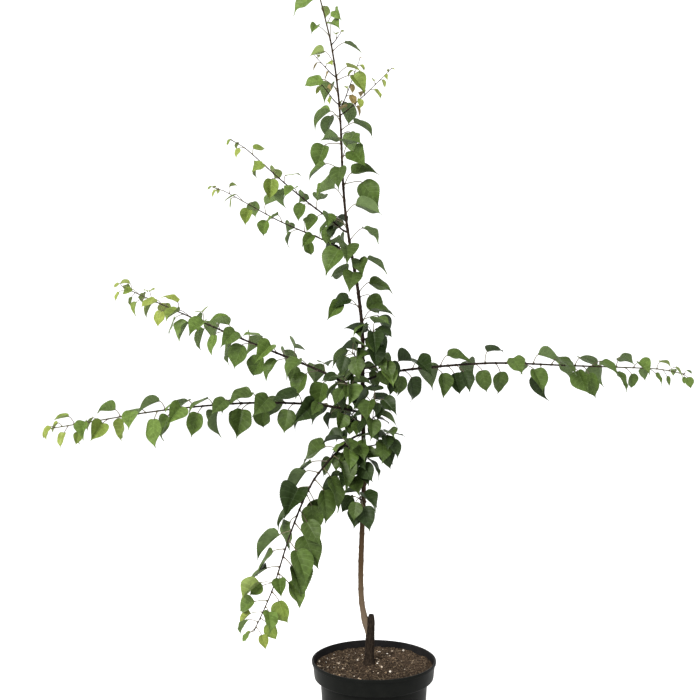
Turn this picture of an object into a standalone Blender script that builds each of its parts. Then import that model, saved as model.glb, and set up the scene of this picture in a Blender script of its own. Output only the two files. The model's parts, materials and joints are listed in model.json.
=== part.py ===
"""Potted bush apricot tree.

A young bush-trained apricot in a round black nursery pot filled with compost. The rootstock ends
in a pruned stub, the scion leaves it on one side and runs up as one thin leader, and six long
boughs with short spurs between them carry some three hundred and fifty hanging leaves.

Metres, +Z up. The origin is the middle of the pot's flat underside. -Y is the side that faces the
light, and +X runs to the right when the tree is looked at from there.
"""

import math
import random

import bmesh
import bpy
from mathutils import Matrix, Vector
from mathutils.bvhtree import BVHTree

MM = 0.001
GAP = 0.3 * MM  # between pieces that meet
UP = Vector((0.0, 0.0, 1.0))
DOWN = -UP
LIGHT = Vector((-0.15, -0.80, 0.55)).normalized()  # the side that the leaves turn to

# Pot, a thin moulded shell with a stepped-out collar and a lip
POT_HEIGHT = 213 * MM
POT_RIM_RADIUS = 130 * MM
POT_BASE_RADIUS = 100 * MM
POT_WALL = 2.0 * MM
POT_FLOOR = 2.5 * MM
LIP_HEIGHT = 6 * MM
LIP_OVERHANG = 2 * MM
LIP_ROUND = 0.8 * MM
COLLAR_HEIGHT = 36 * MM
COLLAR_TAPER = 3.5 * MM  # narrower at the collar's lower edge
COLLAR_STEP = 12.5 * MM  # from the collar in to the body below it
SHOULDER_OUT = 1.5 * MM  # the body's shoulder below the collar
SHOULDER_MIDDLE = 2.5 * MM
SHOULDER_DROP = 5 * MM
FOOT_HEIGHT = 3 * MM
FOOT_BEVEL = 2 * MM
FLOOR_BEVEL = 1 * MM
INNER_SHOULDER = 2 * MM
POT_STEPS = 40
DRAIN_HOLES = 8
DRAIN_RADIUS = 6 * MM
DRAIN_CIRCLE_RADIUS = 72 * MM
DRAIN_SIDES = 8

# Compost, a little lower at the wall than round the stem
SOIL_HEIGHT = 198 * MM
SOIL_FALL = 1.5 * MM
SOIL_FLAT_RADIUS = 32 * MM
SOIL_EDGE = 8 * MM  # the flatter edge at the wall
SOIL_EDGE_RISE = 0.6 * MM
COMPOST_STEPS = 40

# Rootstock: across, height and diameter in millimetres, from the cut at the soil to the stub
ROOTSTOCK = (
    (-9.5, 198.3, 29.0),
    (-9.5, 202.0, 24.5),
    (-9.3, 211.0, 20.5),
    (-8.8, 235.0, 19.0),
    (-7.6, 268.0, 18.5),
    (-6.2, 293.0, 18.0),
    (-5.6, 302.0, 16.0),
    (-5.2, 306.0, 10.0),
)
# Scion and leader: across, away from the light, height and diameter in millimetres
LEADER = (
    (-11.0, 0.0, 262, 11.0),
    (-19.5, 1.0, 298, 12.0),
    (-26.0, 2.0, 332, 11.6),
    (-27.5, 2.5, 400, 11.0),
    (-23.5, 2.0, 505, 10.2),
    (-21.0, 0.0, 580, 9.6),
    (-22.0, -1.5, 680, 8.8),
    (-23.5, -1.0, 830, 7.8),
    (-23.5, 0.5, 895, 7.2),
    (-33.5, 1.5, 988, 6.4),
    (-48.5, 1.5, 1070, 5.7),
    (-57.0, 0.5, 1125, 5.3),
    (-64.5, 0.0, 1205, 4.9),
    (-69.5, 0.0, 1330, 4.2),
    (-76.5, 0.5, 1415, 3.8),
    (-90.0, 1.0, 1505, 3.2),
    (-112.0, 1.5, 1594, 2.7),
    (-127.0, 1.0, 1665, 2.1),
    (-134.0, 0.0, 1728, 1.7),
    (-136.0, -1.0, 1770, 1.4),
)
LEADER_WHOLE_TO = 1590 * MM  # above this height the leader is the stem of its leafy tip
LIMB_STEP = 42 * MM  # between the points of a limb's centre line
CUT_CLEAR = 2 * MM  # a limb's own points keep this far from where it is cut
TAPER_POWER = 1.2  # over 1, so that a limb keeps its thickness for longer near its foot

# How round the limbs are, as a curve's bevel resolution
ROOTSTOCK_ROUNDNESS = 3
TRUNK_ROUNDNESS = 2
BOUGH_ROUNDNESS = 1
STEM_ROUNDNESS = 0

# Boughs, in millimetres: height on the leader, bearing in degrees from +X towards +Y, reach and rise
# along the limb, diameters, bare length, and the spacing, length, stalk and seed of its leaves
BOUGHS = (
    dict(name="right", height=797, bearing=8, thick=5.4, thin=1.9, bare=64,
         line=((40, 13), (90, 21), (270, 35), (460, 29), (660, 21), (716, 10)),
         spacing=21, leaf=51, stalk=24, seed=208),
    dict(name="left_middle", height=778, bearing=160, thick=5.4, thin=1.7, bare=62,
         line=((50, 17), (115, 45), (320, 121), (545, 210), (588, 229)),
         spacing=16, leaf=51, stalk=25, seed=884),
    dict(name="left_lower", height=730, bearing=188, thick=5.0, thin=1.7, bare=60,
         line=((50, 9), (116, 18), (244, 21), (408, 8), (545, -13), (638, -28)),
         spacing=20.5, leaf=50, stalk=21, seed=127),
    dict(name="drooping", height=684, bearing=220, thick=4.8, thin=1.8, bare=62,
         line=((30, -6), (54, -20), (130, -82), (186, -177), (233, -290), (276, -360)),
         spacing=17, leaf=61, stalk=28, seed=930, ranks=(35, 180)),
    dict(name="upper_left_high", height=1107, bearing=170, thick=3.6, thin=1.4, bare=44,
         line=((30, 22), (84, 63), (147, 116), (226, 187), (256, 204)),
         spacing=21, leaf=42, stalk=15, seed=64),
    dict(name="upper_left_low", height=1063, bearing=150, thick=3.1, thin=1.3, bare=50,
         line=((50, 24), (107, 48), (187, 82), (336, 160), (362, 168)),
         spacing=22.5, leaf=40, stalk=19, seed=513),
)

# Spurs with crowded leaves round the middle of the trunk: height and reach in millimetres, with the
# bearing in degrees between them, and the seed of the leaves
SPURS = (
    (542, 261, 41, 869),
    (579, 215, 36, 322),
    (616, 253, 28, 419),
    (644, 232, 52, 421),
    (658, 327, 52, 452),
    (708, 122, 46, 75),
    (704, 294, 45, 898),
    (738, 294, 51, 110),
    (771, 228, 45, 136),
    (796, 95, 44, 536),
    (821, 346, 37, 157),
    (838, 243, 40, 111),
    (882, 298, 40, 525),
)
SPUR_SLOPE = 0.42
SPUR_THICK = 3.0 * MM
SPUR_THIN = 1.7 * MM
SPUR_LEAF = 46 * MM
SPUR_STALK = 17 * MM
SPUR_LEAN = (35, 75)  # of a leaf's stalk from its stem, in degrees
SPUR_LEAF_SPACING = 15 * MM
SPUR_LEAST_LEAVES = 4
SPUR_KNEE = (0.5, 0.1)  # how far out and up a spur bends, as shares of its reach
SPUR_BARE = 0.35  # share of a spur below its leaves
SPUR_LEAFY = 0.63  # share of a spur that its leaves are spread over
SPUR_LEAF_SIZES = (0.78, 1.12)
SPUR_STALK_SIZES = (0.8, 1.3)

# Very short spurs up the leader, to the right and the left in turn, each with its own seed
LEADER_SPUR_SEEDS = (887, 181, 598, 549, 213, 288, 802, 644, 154, 701, 439, 380,
                     382, 503, 402, 597, 848, 641, 247, 889, 961, 489, 370, 57)
LEADER_SPUR_COUNT = len(LEADER_SPUR_SEEDS)
LEADER_SPUR_FIRST = 918 * MM
LEADER_SPUR_SPACING = 28.4 * MM
LEADER_SPUR_SWING = 62.0  # to either side of its rank, in degrees
LEADER_SPUR_REACH = 7 * MM
LEADER_SPUR_THICK = 2.4 * MM
LEADER_LEAF = (49 * MM, 11 * MM, 13 * MM)  # at the foot, more in the middle, less at the top
LEADER_STALK = 25 * MM
LEADER_LEAN = (12, 48)
LEADER_SPUR_TWINS = 0.5  # the share of them with a second leaf
SPUR_TRIES = 12
SPUR_STEP_ASIDE = 23.0  # degrees, where another limb is in the way

# Young side shoots near the top, in millimetres and degrees: height, bearing, reach, rise, seed
TOP_SHOOTS = (
    ("top_shoot_right", 1367, 22, 46, 108, 439),
    ("top_shoot_far_right", 1352, -10, 108, 92, 505),
    ("top_shoot_left", 1374, 172, 42, 50, 883),
    ("top_shoot_upper_left", 1432, 196, 48, 42, 764),
    ("top_shoot_stub", 1500, 5, 20, 26, 326),
)
TOP_SHOOT_THICK = 2.2 * MM
TOP_SHOOT_THIN = 1.0 * MM
TOP_SHOOT_MIDDLE = (0.5, 0.45)  # how far out and up its middle is, as shares of its reach and rise
TOP_SHOOT_RULE = dict(first=16, spacing=14, leaf=22, stalk=8)
LEADER_TIP_RULE = dict(first=8, spacing=19, leaf=40, stalk=19)
LEADER_TIP_SEED = 688
BOUGH_FIRST_LEAF = 5

# A leaf's outline as shares of its length, from the base round by the tip
LEAF_OUTLINE = ((0.14, -0.36), (0.52, -0.40), (1.0, 0.0), (0.52, 0.40), (0.14, 0.36))
LEAF_MIDDLE = 0.40
LEAF_THICKNESS = 0.018
LEAF_LEAST_THICKNESS = 0.6 * MM
STALK_LEAST_RADIUS = 0.35 * MM
STALK_SHARE = 0.009  # of the leaf's length
STALK_FOOT = 0.55  # of its stem's radius, so that it starts inside it
LEAF_FOLD = (0.15, 0.55)  # rise of the blade's halves for each step away from the midrib
LEAF_CURL = (0.02, 0.14)  # drop of the tip, of the leaf's length
LEAF_TURN = 144.0  # degrees round its stem from one leaf to the next
LEAF_ABOVE_POT = 10 * MM
LEAF_NEAR = 130 * MM  # leaves further apart than this can't touch
LEAF_TRIES = 14
TRY_TURN = (16, 9)  # degrees that a leaf may turn aside at the first try, and more at each next one
TRY_LEAN = (0.85, 1.15)
UPRIGHT = 0.2  # a stem with less than this share of its run level counts as upright
STALK_LIFT = 0.12  # how much every stalk turns up
STALK_RISE_KEPT = 0.3  # share of a stalk's rise that its blade keeps
STALK_BEND = 0.25  # the least cosine of the angle between a stalk and its blade
STALK_BEND_STEP = 0.2
STALK_NEAR_STEM = 0.3  # share of a stalk that may touch its own stem
HANG_LEAST = 0.30  # how much every blade turns down
HANG_BELOW = 0.42  # how much more a blade does below its stem
HANG_CHANCE = 0.12
BLADE_SWAY = 0.16
FACE_OUT = 0.35  # what a blade's upper side turns to: away from its stem, up, and to the light
FACE_UP = 0.55
FACE_LIGHT = 0.75
FACE_UP_ABOVE = 0.9  # how much more a leaf above its stem turns up
FACE_LESS_ABOVE = 0.8  # and how much less it turns to the light
FACE_ROLL = 42  # degrees to either side
SHOOT_LEAN = (48, 68)  # of a leaf's stalk from its shoot, in degrees
SHOOT_END = 6 * MM  # the leaves set one by one stop this far from a shoot's end
LEAF_SIZES = (0.84, 1.14)
LEAF_AT_TIP = (0.42, 1.7)  # size of a leaf at the shoot's end, and how fast it grows away from it
STALK_SIZES = (0.8, 1.15)
STALK_PLAIN = 0.6  # share of a stalk's length that doesn't follow its leaf's size
SPACINGS = (0.75, 1.2)
SPACING_AT_TIP = (0.5, 2)
TUFT_SIZES = (0.26, 0.42)
TUFT_LEAN = (18, 48)
TUFT_FIRST = 1.0 * MM  # from the shoot's end to the first leaf of its tuft
TUFT_STEP = 2.5 * MM
TUFT_STALK = 0.4
LEAF_CLEAR = 0.5 * MM
LIMB_CLEAR = 0.6 * MM
SHOOT_REACH = 88 * MM  # how far from its stem a mass's own space goes
TIP_TUFT = 3  # small leaves at the end of a shoot

CAP_WELD = 0.001 * MM
UNION_WELD = 0.002 * MM
SCREW_MERGE = 0.01 * MM
SHARP_ANGLE = 40


def smooth(points, step):
    """Points of any length along a Catmull-Rom curve through the given ones."""
    ends = [2 * points[0] - points[1]] + points + [2 * points[-1] - points[-2]]
    out = []
    for before, a, b, after in zip(ends, ends[1:], ends[2:], ends[3:]):
        count = max(1, round((b - a).length / step))
        for i in range(count):
            t = i / count
            out.append(
                0.5 * (2 * a + (b - before) * t + (2 * before - 5 * a + 4 * b - after) * t * t
                       + (3 * a - before - 3 * b + after) * t ** 3)
            )
    return out + [points[-1]]


class Limb:
    """A tapering centre line, with a radius at each of its points."""

    def __init__(self, points, radii):
        self.points = [Vector(p) for p in points]
        self.radii = list(radii)
        self.marks = [0.0]
        for a, b in zip(self.points, self.points[1:]):
            self.marks.append(self.marks[-1] + (b - a).length)
        self.length = self.marks[-1]

    def at(self, s):
        """The point, the direction and the radius a way s along the limb."""
        k = 0
        while k < len(self.marks) - 2 and self.marks[k + 1] < s:
            k += 1
        t = (s - self.marks[k]) / (self.marks[k + 1] - self.marks[k])
        a, b = self.points[k], self.points[k + 1]
        return a.lerp(b, t), (b - a).normalized(), self.radii[k] * (1 - t) + self.radii[k + 1] * t

    def stretch(self, start, end):
        """The limb from start to end as a limb of its own."""
        inner = [k for k, m in enumerate(self.marks) if start + CUT_CLEAR < m < end - CUT_CLEAR]
        first, last = self.at(start), self.at(end)
        points = [first[0]] + [self.points[k] for k in inner] + [last[0]]
        radii = [first[2]] + [self.radii[k] for k in inner] + [last[2]]
        return Limb(points, radii)

    def station(self, height):
        """How far along the limb it first reaches a height."""
        for k, (a, b) in enumerate(zip(self.points, self.points[1:])):
            if a.z <= height <= b.z:
                return self.marks[k] + (height - a.z) / (b.z - a.z) * (b - a).length
        return self.length

    def distance(self, point):
        """How far a point lies from the centre line."""
        best = None
        for a, b in zip(self.points, self.points[1:]):
            along = b - a
            t = min(1.0, max(0.0, (point - a).dot(along) / along.length_squared))
            d = (a + along * t - point).length
            best = d if best is None else min(best, d)
        return best


def leader_limb():
    rows = smooth([Vector(row) * MM for row in LEADER], LIMB_STEP)
    return Limb([Vector(row[:3]) for row in rows], [row[3] / 2 for row in rows])


def side_limb(leader, height, bearing, line, thick, thin):
    """A limb that leaves the leader square to it, 0.3 mm clear, and then follows its line."""
    centre, axis, radius = leader.at(leader.station(height))
    out = Vector((math.cos(math.radians(bearing)), math.sin(math.radians(bearing)), 0.0))
    radial = (out - axis * out.dot(axis)).normalized()
    start = centre + radial * (radius + GAP)
    knee = start + radial * thick
    route = [centre + out * reach + UP * rise for reach, rise in line]
    points = [start] + smooth([knee] + route, LIMB_STEP)
    plain = Limb(points, [0.0] * len(points))
    taper = [(thick + (thin - thick) * (m / plain.length) ** TAPER_POWER) / 2 for m in plain.marks]
    return Limb(points, taper)


def ring(limb, k, sides, margin):
    """Corners round a limb's point, for the tests of what touches what."""
    before = limb.points[max(0, k - 1)]
    after = limb.points[min(len(limb.points) - 1, k + 1)]
    along = (after - before).normalized()
    across = along.orthogonal().normalized()
    other = along.cross(across)
    r = limb.radii[k] + margin
    turns = [2 * math.pi * i / sides for i in range(sides)]
    return [limb.points[k] + (across * math.cos(a) + other * math.sin(a)) * r for a in turns]


def limb_tree(limb):
    """A search tree of the limb's skin, a little thicker than the limb."""
    sides = 6
    corners = []
    faces = []
    for k in range(len(limb.points)):
        corners += ring(limb, k, sides, LIMB_CLEAR)
    for k in range(len(limb.points) - 1):
        for i in range(sides):
            j = (i + 1) % sides
            faces.append((k * sides + i, k * sides + j, (k + 1) * sides + j, (k + 1) * sides + i))
    return BVHTree.FromPolygons(corners, faces)


class Leaf:
    """A hanging leaf: where its stalk starts, where its blade starts, and how the blade lies."""

    def __init__(self, root, foot, base, along, face, length, fold, curl):
        self.root = root
        self.foot = foot
        self.base = base
        self.along = along
        self.face = face
        self.length = length
        self.fold = fold
        self.curl = curl

    def frame(self):
        across = self.face.cross(self.along)
        turn = Matrix((self.along, across, self.face)).transposed().to_4x4()
        return Matrix.Translation(self.base) @ turn

    def corner(self, share_along, share_across):
        """A point of the blade's middle surface, in the blade's own frame."""
        x = share_along * self.length
        y = share_across * self.length
        return Vector((x, y, abs(y) * self.fold - self.curl * self.length * share_along ** 2))

    def skin(self, grow=0.0, start=0.0):
        """Corners and faces of the whole leaf, a three-sided stalk that opens into a folded blade."""
        frame = self.frame()
        radius = STALK_LEAST_RADIUS + STALK_SHARE * self.length + grow
        stalk = (self.base - self.root).normalized()
        turned = (stalk + self.along).normalized()
        side = self.face.cross(self.along)
        side = (side - turned * side.dot(turned)).normalized()
        low = side.cross(turned)
        root_side = (side - stalk * side.dot(stalk)).normalized()
        root_low = root_side.cross(stalk)
        root = self.root.lerp(self.base, start)
        foot = self.foot + grow
        corners = [root + root_side * foot, root + root_low * foot, root - root_side * foot]
        corners += [self.base + side * radius, self.base + low * radius, self.base - side * radius]
        middle = self.corner(LEAF_MIDDLE, 0.0)
        for share_along, share_across in LEAF_OUTLINE:
            p = self.corner(share_along, share_across)
            corners.append(frame @ (p + (p - middle).normalized() * grow))
        half = max(self.length * LEAF_THICKNESS, LEAF_LEAST_THICKNESS) / 2 + grow
        corners += [frame @ (middle + UP * half), frame @ (middle + DOWN * half)]
        top = len(corners) - 2
        under = top + 1
        faces = [(0, 1, 2), (3, 5, top), (5, 4, under), (4, 3, under)]
        for k in range(3):
            n = (k + 1) % 3
            faces.append((k, k + 3, n + 3, n))
        rim = [5] + list(range(6, 6 + len(LEAF_OUTLINE))) + [3]
        for k, n in zip(rim, rim[1:]):
            faces.append((top, k, n))
            faces.append((under, n, k))
        return corners, faces

    def tree(self, grow):
        """A search tree of the leaf, grown by a margin, without the foot of its stalk."""
        return BVHTree.FromPolygons(*self.skin(grow, STALK_NEAR_STEM))


def pose_leaf(stem, s, bearing, length, reach, lean, rng):
    """A leaf on a stem: its stalk leaves at a slant, and the blade hangs and turns to the light."""
    root, along, radius = stem.at(s)
    level = along.cross(UP)
    if level.length < UPRIGHT:
        level = Vector((0.0, -1.0, 0.0)) - along * along.dot(Vector((0.0, -1.0, 0.0)))
    level.normalize()
    over = level.cross(along).normalized()
    out = level * math.cos(bearing) + over * math.sin(bearing)
    stalk = (along * math.cos(lean) + out * math.sin(lean) + UP * STALK_LIFT).normalized()
    base = root + stalk * (radius + reach)
    hang = HANG_LEAST + HANG_BELOW * (0.5 - 0.5 * out.z) + rng.uniform(-HANG_CHANCE, HANG_CHANCE)
    blade = Vector((stalk.x, stalk.y, stalk.z * STALK_RISE_KEPT)) * (1 - hang) + DOWN * hang
    blade += Vector((rng.uniform(-BLADE_SWAY, BLADE_SWAY), rng.uniform(-BLADE_SWAY, BLADE_SWAY), 0.0))
    blade.normalize()
    while blade.dot(stalk) < STALK_BEND:
        blade = (blade + stalk * STALK_BEND_STEP).normalized()
    above = max(0.0, out.z)
    face = out * FACE_OUT + UP * (FACE_UP + FACE_UP_ABOVE * above)
    face += LIGHT * FACE_LIGHT * (1 - FACE_LESS_ABOVE * above)
    face = (face - blade * face.dot(blade)).normalized()
    face = Matrix.Rotation(math.radians(rng.uniform(-FACE_ROLL, FACE_ROLL)), 3, blade) @ face
    fold = rng.uniform(*LEAF_FOLD)
    curl = rng.uniform(*LEAF_CURL)
    return Leaf(root, radius * STALK_FOOT, base, blade, face.normalized(), length, fold, curl)


class Crown:
    """Keeps every limb and leaf that is placed, and tests new ones against them."""

    def __init__(self):
        self.limbs = []
        self.leaves = []

    def add_limb(self, limb):
        self.limbs.append(limb_tree(limb))

    def limb_is_free(self, limb):
        tree = limb_tree(limb)
        return not any(tree.overlap(other) for other in self.limbs)

    def leaf_is_free(self, stem, leaf):
        """True if a leaf stays in its mass's space and clears the pot and all that is placed."""
        frame = leaf.frame()
        tip = frame @ leaf.corner(1.0, 0.0)
        if stem.distance(tip) > SHOOT_REACH or tip.z < POT_HEIGHT + LEAF_ABOVE_POT:
            return False
        probe = leaf.tree(LEAF_CLEAR)
        if any(probe.overlap(tree) for tree in self.limbs):
            return False
        middle = frame @ leaf.corner(0.5, 0.0)
        near = [tree for m, tree in self.leaves if (m - middle).length < LEAF_NEAR]
        return not any(probe.overlap(tree) for tree in near)

    def try_leaf(self, stem, s, bearing, length, stalk, lean, rng):
        """Tries a leaf at a place a few times, each time turned a little, and may leave it out."""
        for attempt in range(LEAF_TRIES):
            spread = math.radians(TRY_TURN[0] + TRY_TURN[1] * attempt)
            turned = bearing + rng.uniform(-spread, spread)
            leaf = pose_leaf(stem, s, turned, length, stalk, lean * rng.uniform(*TRY_LEAN), rng)
            if self.leaf_is_free(stem, leaf):
                self.leaves.append((leaf.frame() @ leaf.corner(0.5, 0.0), leaf.tree(0.0)))
                return [leaf]
        return []


def shoot_leaves(crown, stem, rule, rng):
    """Leaves one by one along a shoot, each further round it, smaller towards its tip."""
    leaves = []
    full = rule["leaf"] * MM
    s = rule["first"] * MM
    turn, step = rule.get("ranks", (rng.uniform(0, 360), LEAF_TURN))
    while s < stem.length - SHOOT_END:
        left = (stem.length - s) / stem.length
        size = full * min(1.0, LEAF_AT_TIP[0] + LEAF_AT_TIP[1] * left) * rng.uniform(*LEAF_SIZES)
        stalk = rule["stalk"] * MM * (STALK_PLAIN + (1 - STALK_PLAIN) * size / full)
        stalk *= rng.uniform(*STALK_SIZES)
        lean = math.radians(rng.uniform(*SHOOT_LEAN))
        leaves += crown.try_leaf(stem, s, math.radians(turn), size, stalk, lean, rng)
        turn += step
        spacing = rule["spacing"] * MM * rng.uniform(*SPACINGS)
        s += spacing * min(1.0, SPACING_AT_TIP[0] + SPACING_AT_TIP[1] * left)
    for k in range(TIP_TUFT):
        size = full * rng.uniform(*TUFT_SIZES)
        s = stem.length - TUFT_FIRST - TUFT_STEP * k
        lean = math.radians(rng.uniform(*TUFT_LEAN))
        stalk = rule["stalk"] * MM * TUFT_STALK
        leaves += crown.try_leaf(stem, s, math.radians(turn), size, stalk, lean, rng)
        turn += step
    return leaves


def spur_leaves(crown, stem, count, length, stalk, lean, rng):
    """Leaves crowded along a short spur and spread fanwise at its end."""
    leaves = []
    turn = rng.uniform(0, 360)
    for k in range(count):
        s = stem.length * (SPUR_BARE + SPUR_LEAFY * (k + 1) / count)
        size = length * rng.uniform(*SPUR_LEAF_SIZES)
        slant = math.radians(rng.uniform(*lean))
        reach = stalk * rng.uniform(*SPUR_STALK_SIZES)
        leaves += crown.try_leaf(stem, s, math.radians(turn), size, reach, slant, rng)
        turn += LEAF_TURN
    return leaves


def spur_stem(crown, trunk, height, bearing, reach, thick):
    """A spur's stem, turned aside in steps until no other limb is in its way."""
    for attempt in range(SPUR_TRIES):
        foot = trunk.at(trunk.station(height))[2] + thick
        line = [(foot + reach * SPUR_KNEE[0], reach * SPUR_KNEE[1]), (foot + reach, reach * SPUR_SLOPE)]
        stem = side_limb(trunk, height, bearing, line, thick, SPUR_THIN)
        free = stem.stretch(thick, stem.length)
        if crown.limb_is_free(free):
            break
        bearing += SPUR_STEP_ASIDE
    crown.add_limb(free)
    return stem


def plan_boughs(trunk):
    """The bare lower limb of each bough, and the leafy shoot that it goes on in."""
    limbs = []
    shoots = []
    for bough in BOUGHS:
        line = [(reach * MM, rise * MM) for reach, rise in bough["line"]]
        whole = side_limb(trunk, bough["height"] * MM, bough["bearing"], line,
                          bough["thick"] * MM, bough["thin"] * MM)
        bare = bough["bare"] * MM
        rule = dict(bough, first=BOUGH_FIRST_LEAF)
        limbs.append(("bough_" + bough["name"], whole.stretch(0.0, bare)))
        shoot = whole.stretch(bare + GAP, whole.length)
        shoots.append(("shoot_" + bough["name"], shoot, rule, bough["seed"]))
    return limbs, shoots


def plan_top_shoots(trunk):
    """The young side shoots near the top."""
    shoots = []
    for name, height, bearing, reach, rise, seed in TOP_SHOOTS:
        middle = (reach * MM * TOP_SHOOT_MIDDLE[0], rise * MM * TOP_SHOOT_MIDDLE[1])
        line = [middle, (reach * MM, rise * MM)]
        stem = side_limb(trunk, height * MM, bearing, line, TOP_SHOOT_THICK, TOP_SHOOT_THIN)
        shoots.append((name, stem, TOP_SHOOT_RULE, seed))
    return shoots


def leader_spur(crown, trunk, k, seed):
    """A very short spur on the leader, with its own name, stem and rule for its leaves."""
    rng = random.Random(seed)
    share = k / LEADER_SPUR_COUNT
    bearing = 180.0 * k + rng.uniform(-LEADER_SPUR_SWING, LEADER_SPUR_SWING)
    height = LEADER_SPUR_FIRST + k * LEADER_SPUR_SPACING
    stem = spur_stem(crown, trunk, height, bearing, LEADER_SPUR_REACH, LEADER_SPUR_THICK)
    foot, more, less = LEADER_LEAF
    leaf = foot + more * math.sin(math.pi * share) - less * share ** 3
    count = 2 if rng.random() < LEADER_SPUR_TWINS else 1
    return "leader_spray_%02d" % (k + 1), stem, count, leaf, LEADER_STALK, LEADER_LEAN, rng


def plan_spurs(crown, trunk):
    """The stems of the spurs round the trunk and up the leader, with the rules of their leaves."""
    spurs = []
    for k, (height, bearing, reach, seed) in enumerate(SPURS):
        stem = spur_stem(crown, trunk, height * MM, bearing, reach * MM, SPUR_THICK)
        count = SPUR_LEAST_LEAVES + int(stem.length / SPUR_LEAF_SPACING)
        rng = random.Random(seed)
        spurs.append(("spur_%02d" % (k + 1), stem, count, SPUR_LEAF, SPUR_STALK, SPUR_LEAN, rng))
    for k, seed in enumerate(LEADER_SPUR_SEEDS):
        spurs.append(leader_spur(crown, trunk, k, seed))
    return spurs


def plan_tree():
    """The trunk, the boughs' bare limbs by name, and each mass with its stem and its leaves."""
    leader = leader_limb()
    whole = leader.station(LEADER_WHOLE_TO)
    trunk = leader.stretch(0.0, whole)
    tip = leader.stretch(whole + GAP, leader.length)
    limbs, shoots = plan_boughs(trunk)
    shoots += plan_top_shoots(trunk)
    shoots.append(("leader_tip", tip, LEADER_TIP_RULE, LEADER_TIP_SEED))

    crown = Crown()
    crown.add_limb(trunk)
    for _, limb in limbs:
        crown.add_limb(limb)
    for _, stem, _, _ in shoots:
        crown.add_limb(stem)
    spurs = plan_spurs(crown, trunk)

    masses = []
    for name, stem, rule, seed in shoots:
        masses.append((name, stem, shoot_leaves(crown, stem, rule, random.Random(seed))))
    for name, stem, *rule in spurs:
        masses.append((name, stem, spur_leaves(crown, stem, *rule)))
    return trunk, limbs, masses


def material(name, colour, roughness, metallic=0.0):
    mat = bpy.data.materials.new(name)
    mat.use_nodes = True
    shader = mat.node_tree.nodes["Principled BSDF"]
    shader.inputs["Base Color"].default_value = (*colour, 1.0)
    shader.inputs["Roughness"].default_value = roughness
    shader.inputs["Metallic"].default_value = metallic
    return mat


def link(name, data, collection, mat=None):
    obj = bpy.data.objects.new(name, data)
    collection.objects.link(obj)
    if mat:
        data.materials.append(mat)
    return obj


def from_bmesh(name, bm, collection, mat=None):
    mesh = bpy.data.meshes.new(name)
    bm.to_mesh(mesh)
    bm.free()
    return link(name, mesh, collection, mat)


def evaluated_mesh(obj):
    graph = bpy.context.evaluated_depsgraph_get()
    graph.update()
    return bpy.data.meshes.new_from_object(obj.evaluated_get(graph))


def remove(obj):
    data = obj.data
    bpy.data.objects.remove(obj, do_unlink=True)
    if isinstance(data, bpy.types.Mesh):
        bpy.data.meshes.remove(data)
    else:
        bpy.data.curves.remove(data)


def limb_object(name, limb, collection, mat, resolution):
    """A limb as a bevelled curve with filled caps, turned into a closed mesh."""
    curve = bpy.data.curves.new(name, "CURVE")
    curve.dimensions = "3D"
    curve.bevel_depth = 1.0
    curve.bevel_resolution = resolution
    curve.use_fill_caps = True
    spline = curve.splines.new("POLY")
    spline.points.add(len(limb.points) - 1)
    for target, point, radius in zip(spline.points, limb.points, limb.radii):
        target.co = (*point, 1.0)
        target.radius = radius
    source = link(name + "_curve", curve, collection)
    mesh = evaluated_mesh(source)
    remove(source)
    bm = bmesh.new()
    bm.from_mesh(mesh)
    bpy.data.meshes.remove(mesh)
    bmesh.ops.remove_doubles(bm, verts=bm.verts, dist=CAP_WELD)
    bmesh.ops.recalc_face_normals(bm, faces=bm.faces)
    return from_bmesh(name, bm, collection, mat)


def leaf_object(name, leaf, collection):
    """A leaf as one closed solid, its stalk's foot on the middle line of its stem."""
    corners, faces = leaf.skin()
    mesh = bpy.data.meshes.new(name)
    mesh.from_pydata(corners, [], faces)
    return link(name, mesh, collection)


def keep_largest_body(bm):
    """Drops the faces that no edge joins to the largest body, such as a scrap or a sealed shell."""
    left = set(bm.faces)
    bodies = []
    while left:
        body = []
        reached = [left.pop()]
        while reached:
            face = reached.pop()
            body.append(face)
            for edge in face.edges:
                for other in edge.link_faces:
                    if other in left:
                        left.remove(other)
                        reached.append(other)
        bodies.append(body)
    bodies.sort(key=len)
    for body in bodies[:-1]:
        bmesh.ops.delete(bm, geom=body, context="FACES")


def fuse(obj, operands):
    """Joins an object with every object of a collection and removes those."""
    union = obj.modifiers.new("fuse", "BOOLEAN")
    union.operation = "UNION"
    union.operand_type = "COLLECTION"
    union.collection = operands
    union.solver = "EXACT"
    mesh = evaluated_mesh(obj)
    obj.modifiers.remove(union)
    bm = bmesh.new()
    bm.from_mesh(mesh)
    bpy.data.meshes.remove(mesh)
    bmesh.ops.remove_doubles(bm, verts=bm.verts, dist=UNION_WELD)
    keep_largest_body(bm)
    bm.to_mesh(obj.data)
    bm.free()
    for operand in list(operands.objects):
        remove(operand)


def mass_object(name, stem, leaves, collection, operands, mat):
    """A mass of foliage: its stem with every stalk and blade fused on."""
    obj = limb_object(name, stem, collection, mat, STEM_ROUNDNESS)
    for k, leaf in enumerate(leaves):
        leaf_object("%s_leaf_%d" % (name, k), leaf, operands)
    fuse(obj, operands)
    return obj


def turned(name, profile, steps, collection, mat):
    """A profile of radius and height, turned about Z by a Screw modifier."""
    mesh = bpy.data.meshes.new(name)
    mesh.from_pydata([(r, 0.0, z) for r, z in profile], [(i, i + 1) for i in range(len(profile) - 1)], [])
    obj = link(name, mesh, collection, mat)
    screw = obj.modifiers.new("turn", "SCREW")
    screw.axis = "Z"
    screw.angle = 2 * math.pi
    screw.steps = steps
    screw.render_steps = steps
    screw.use_merge_vertices = True
    screw.merge_threshold = SCREW_MERGE
    return obj


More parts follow.
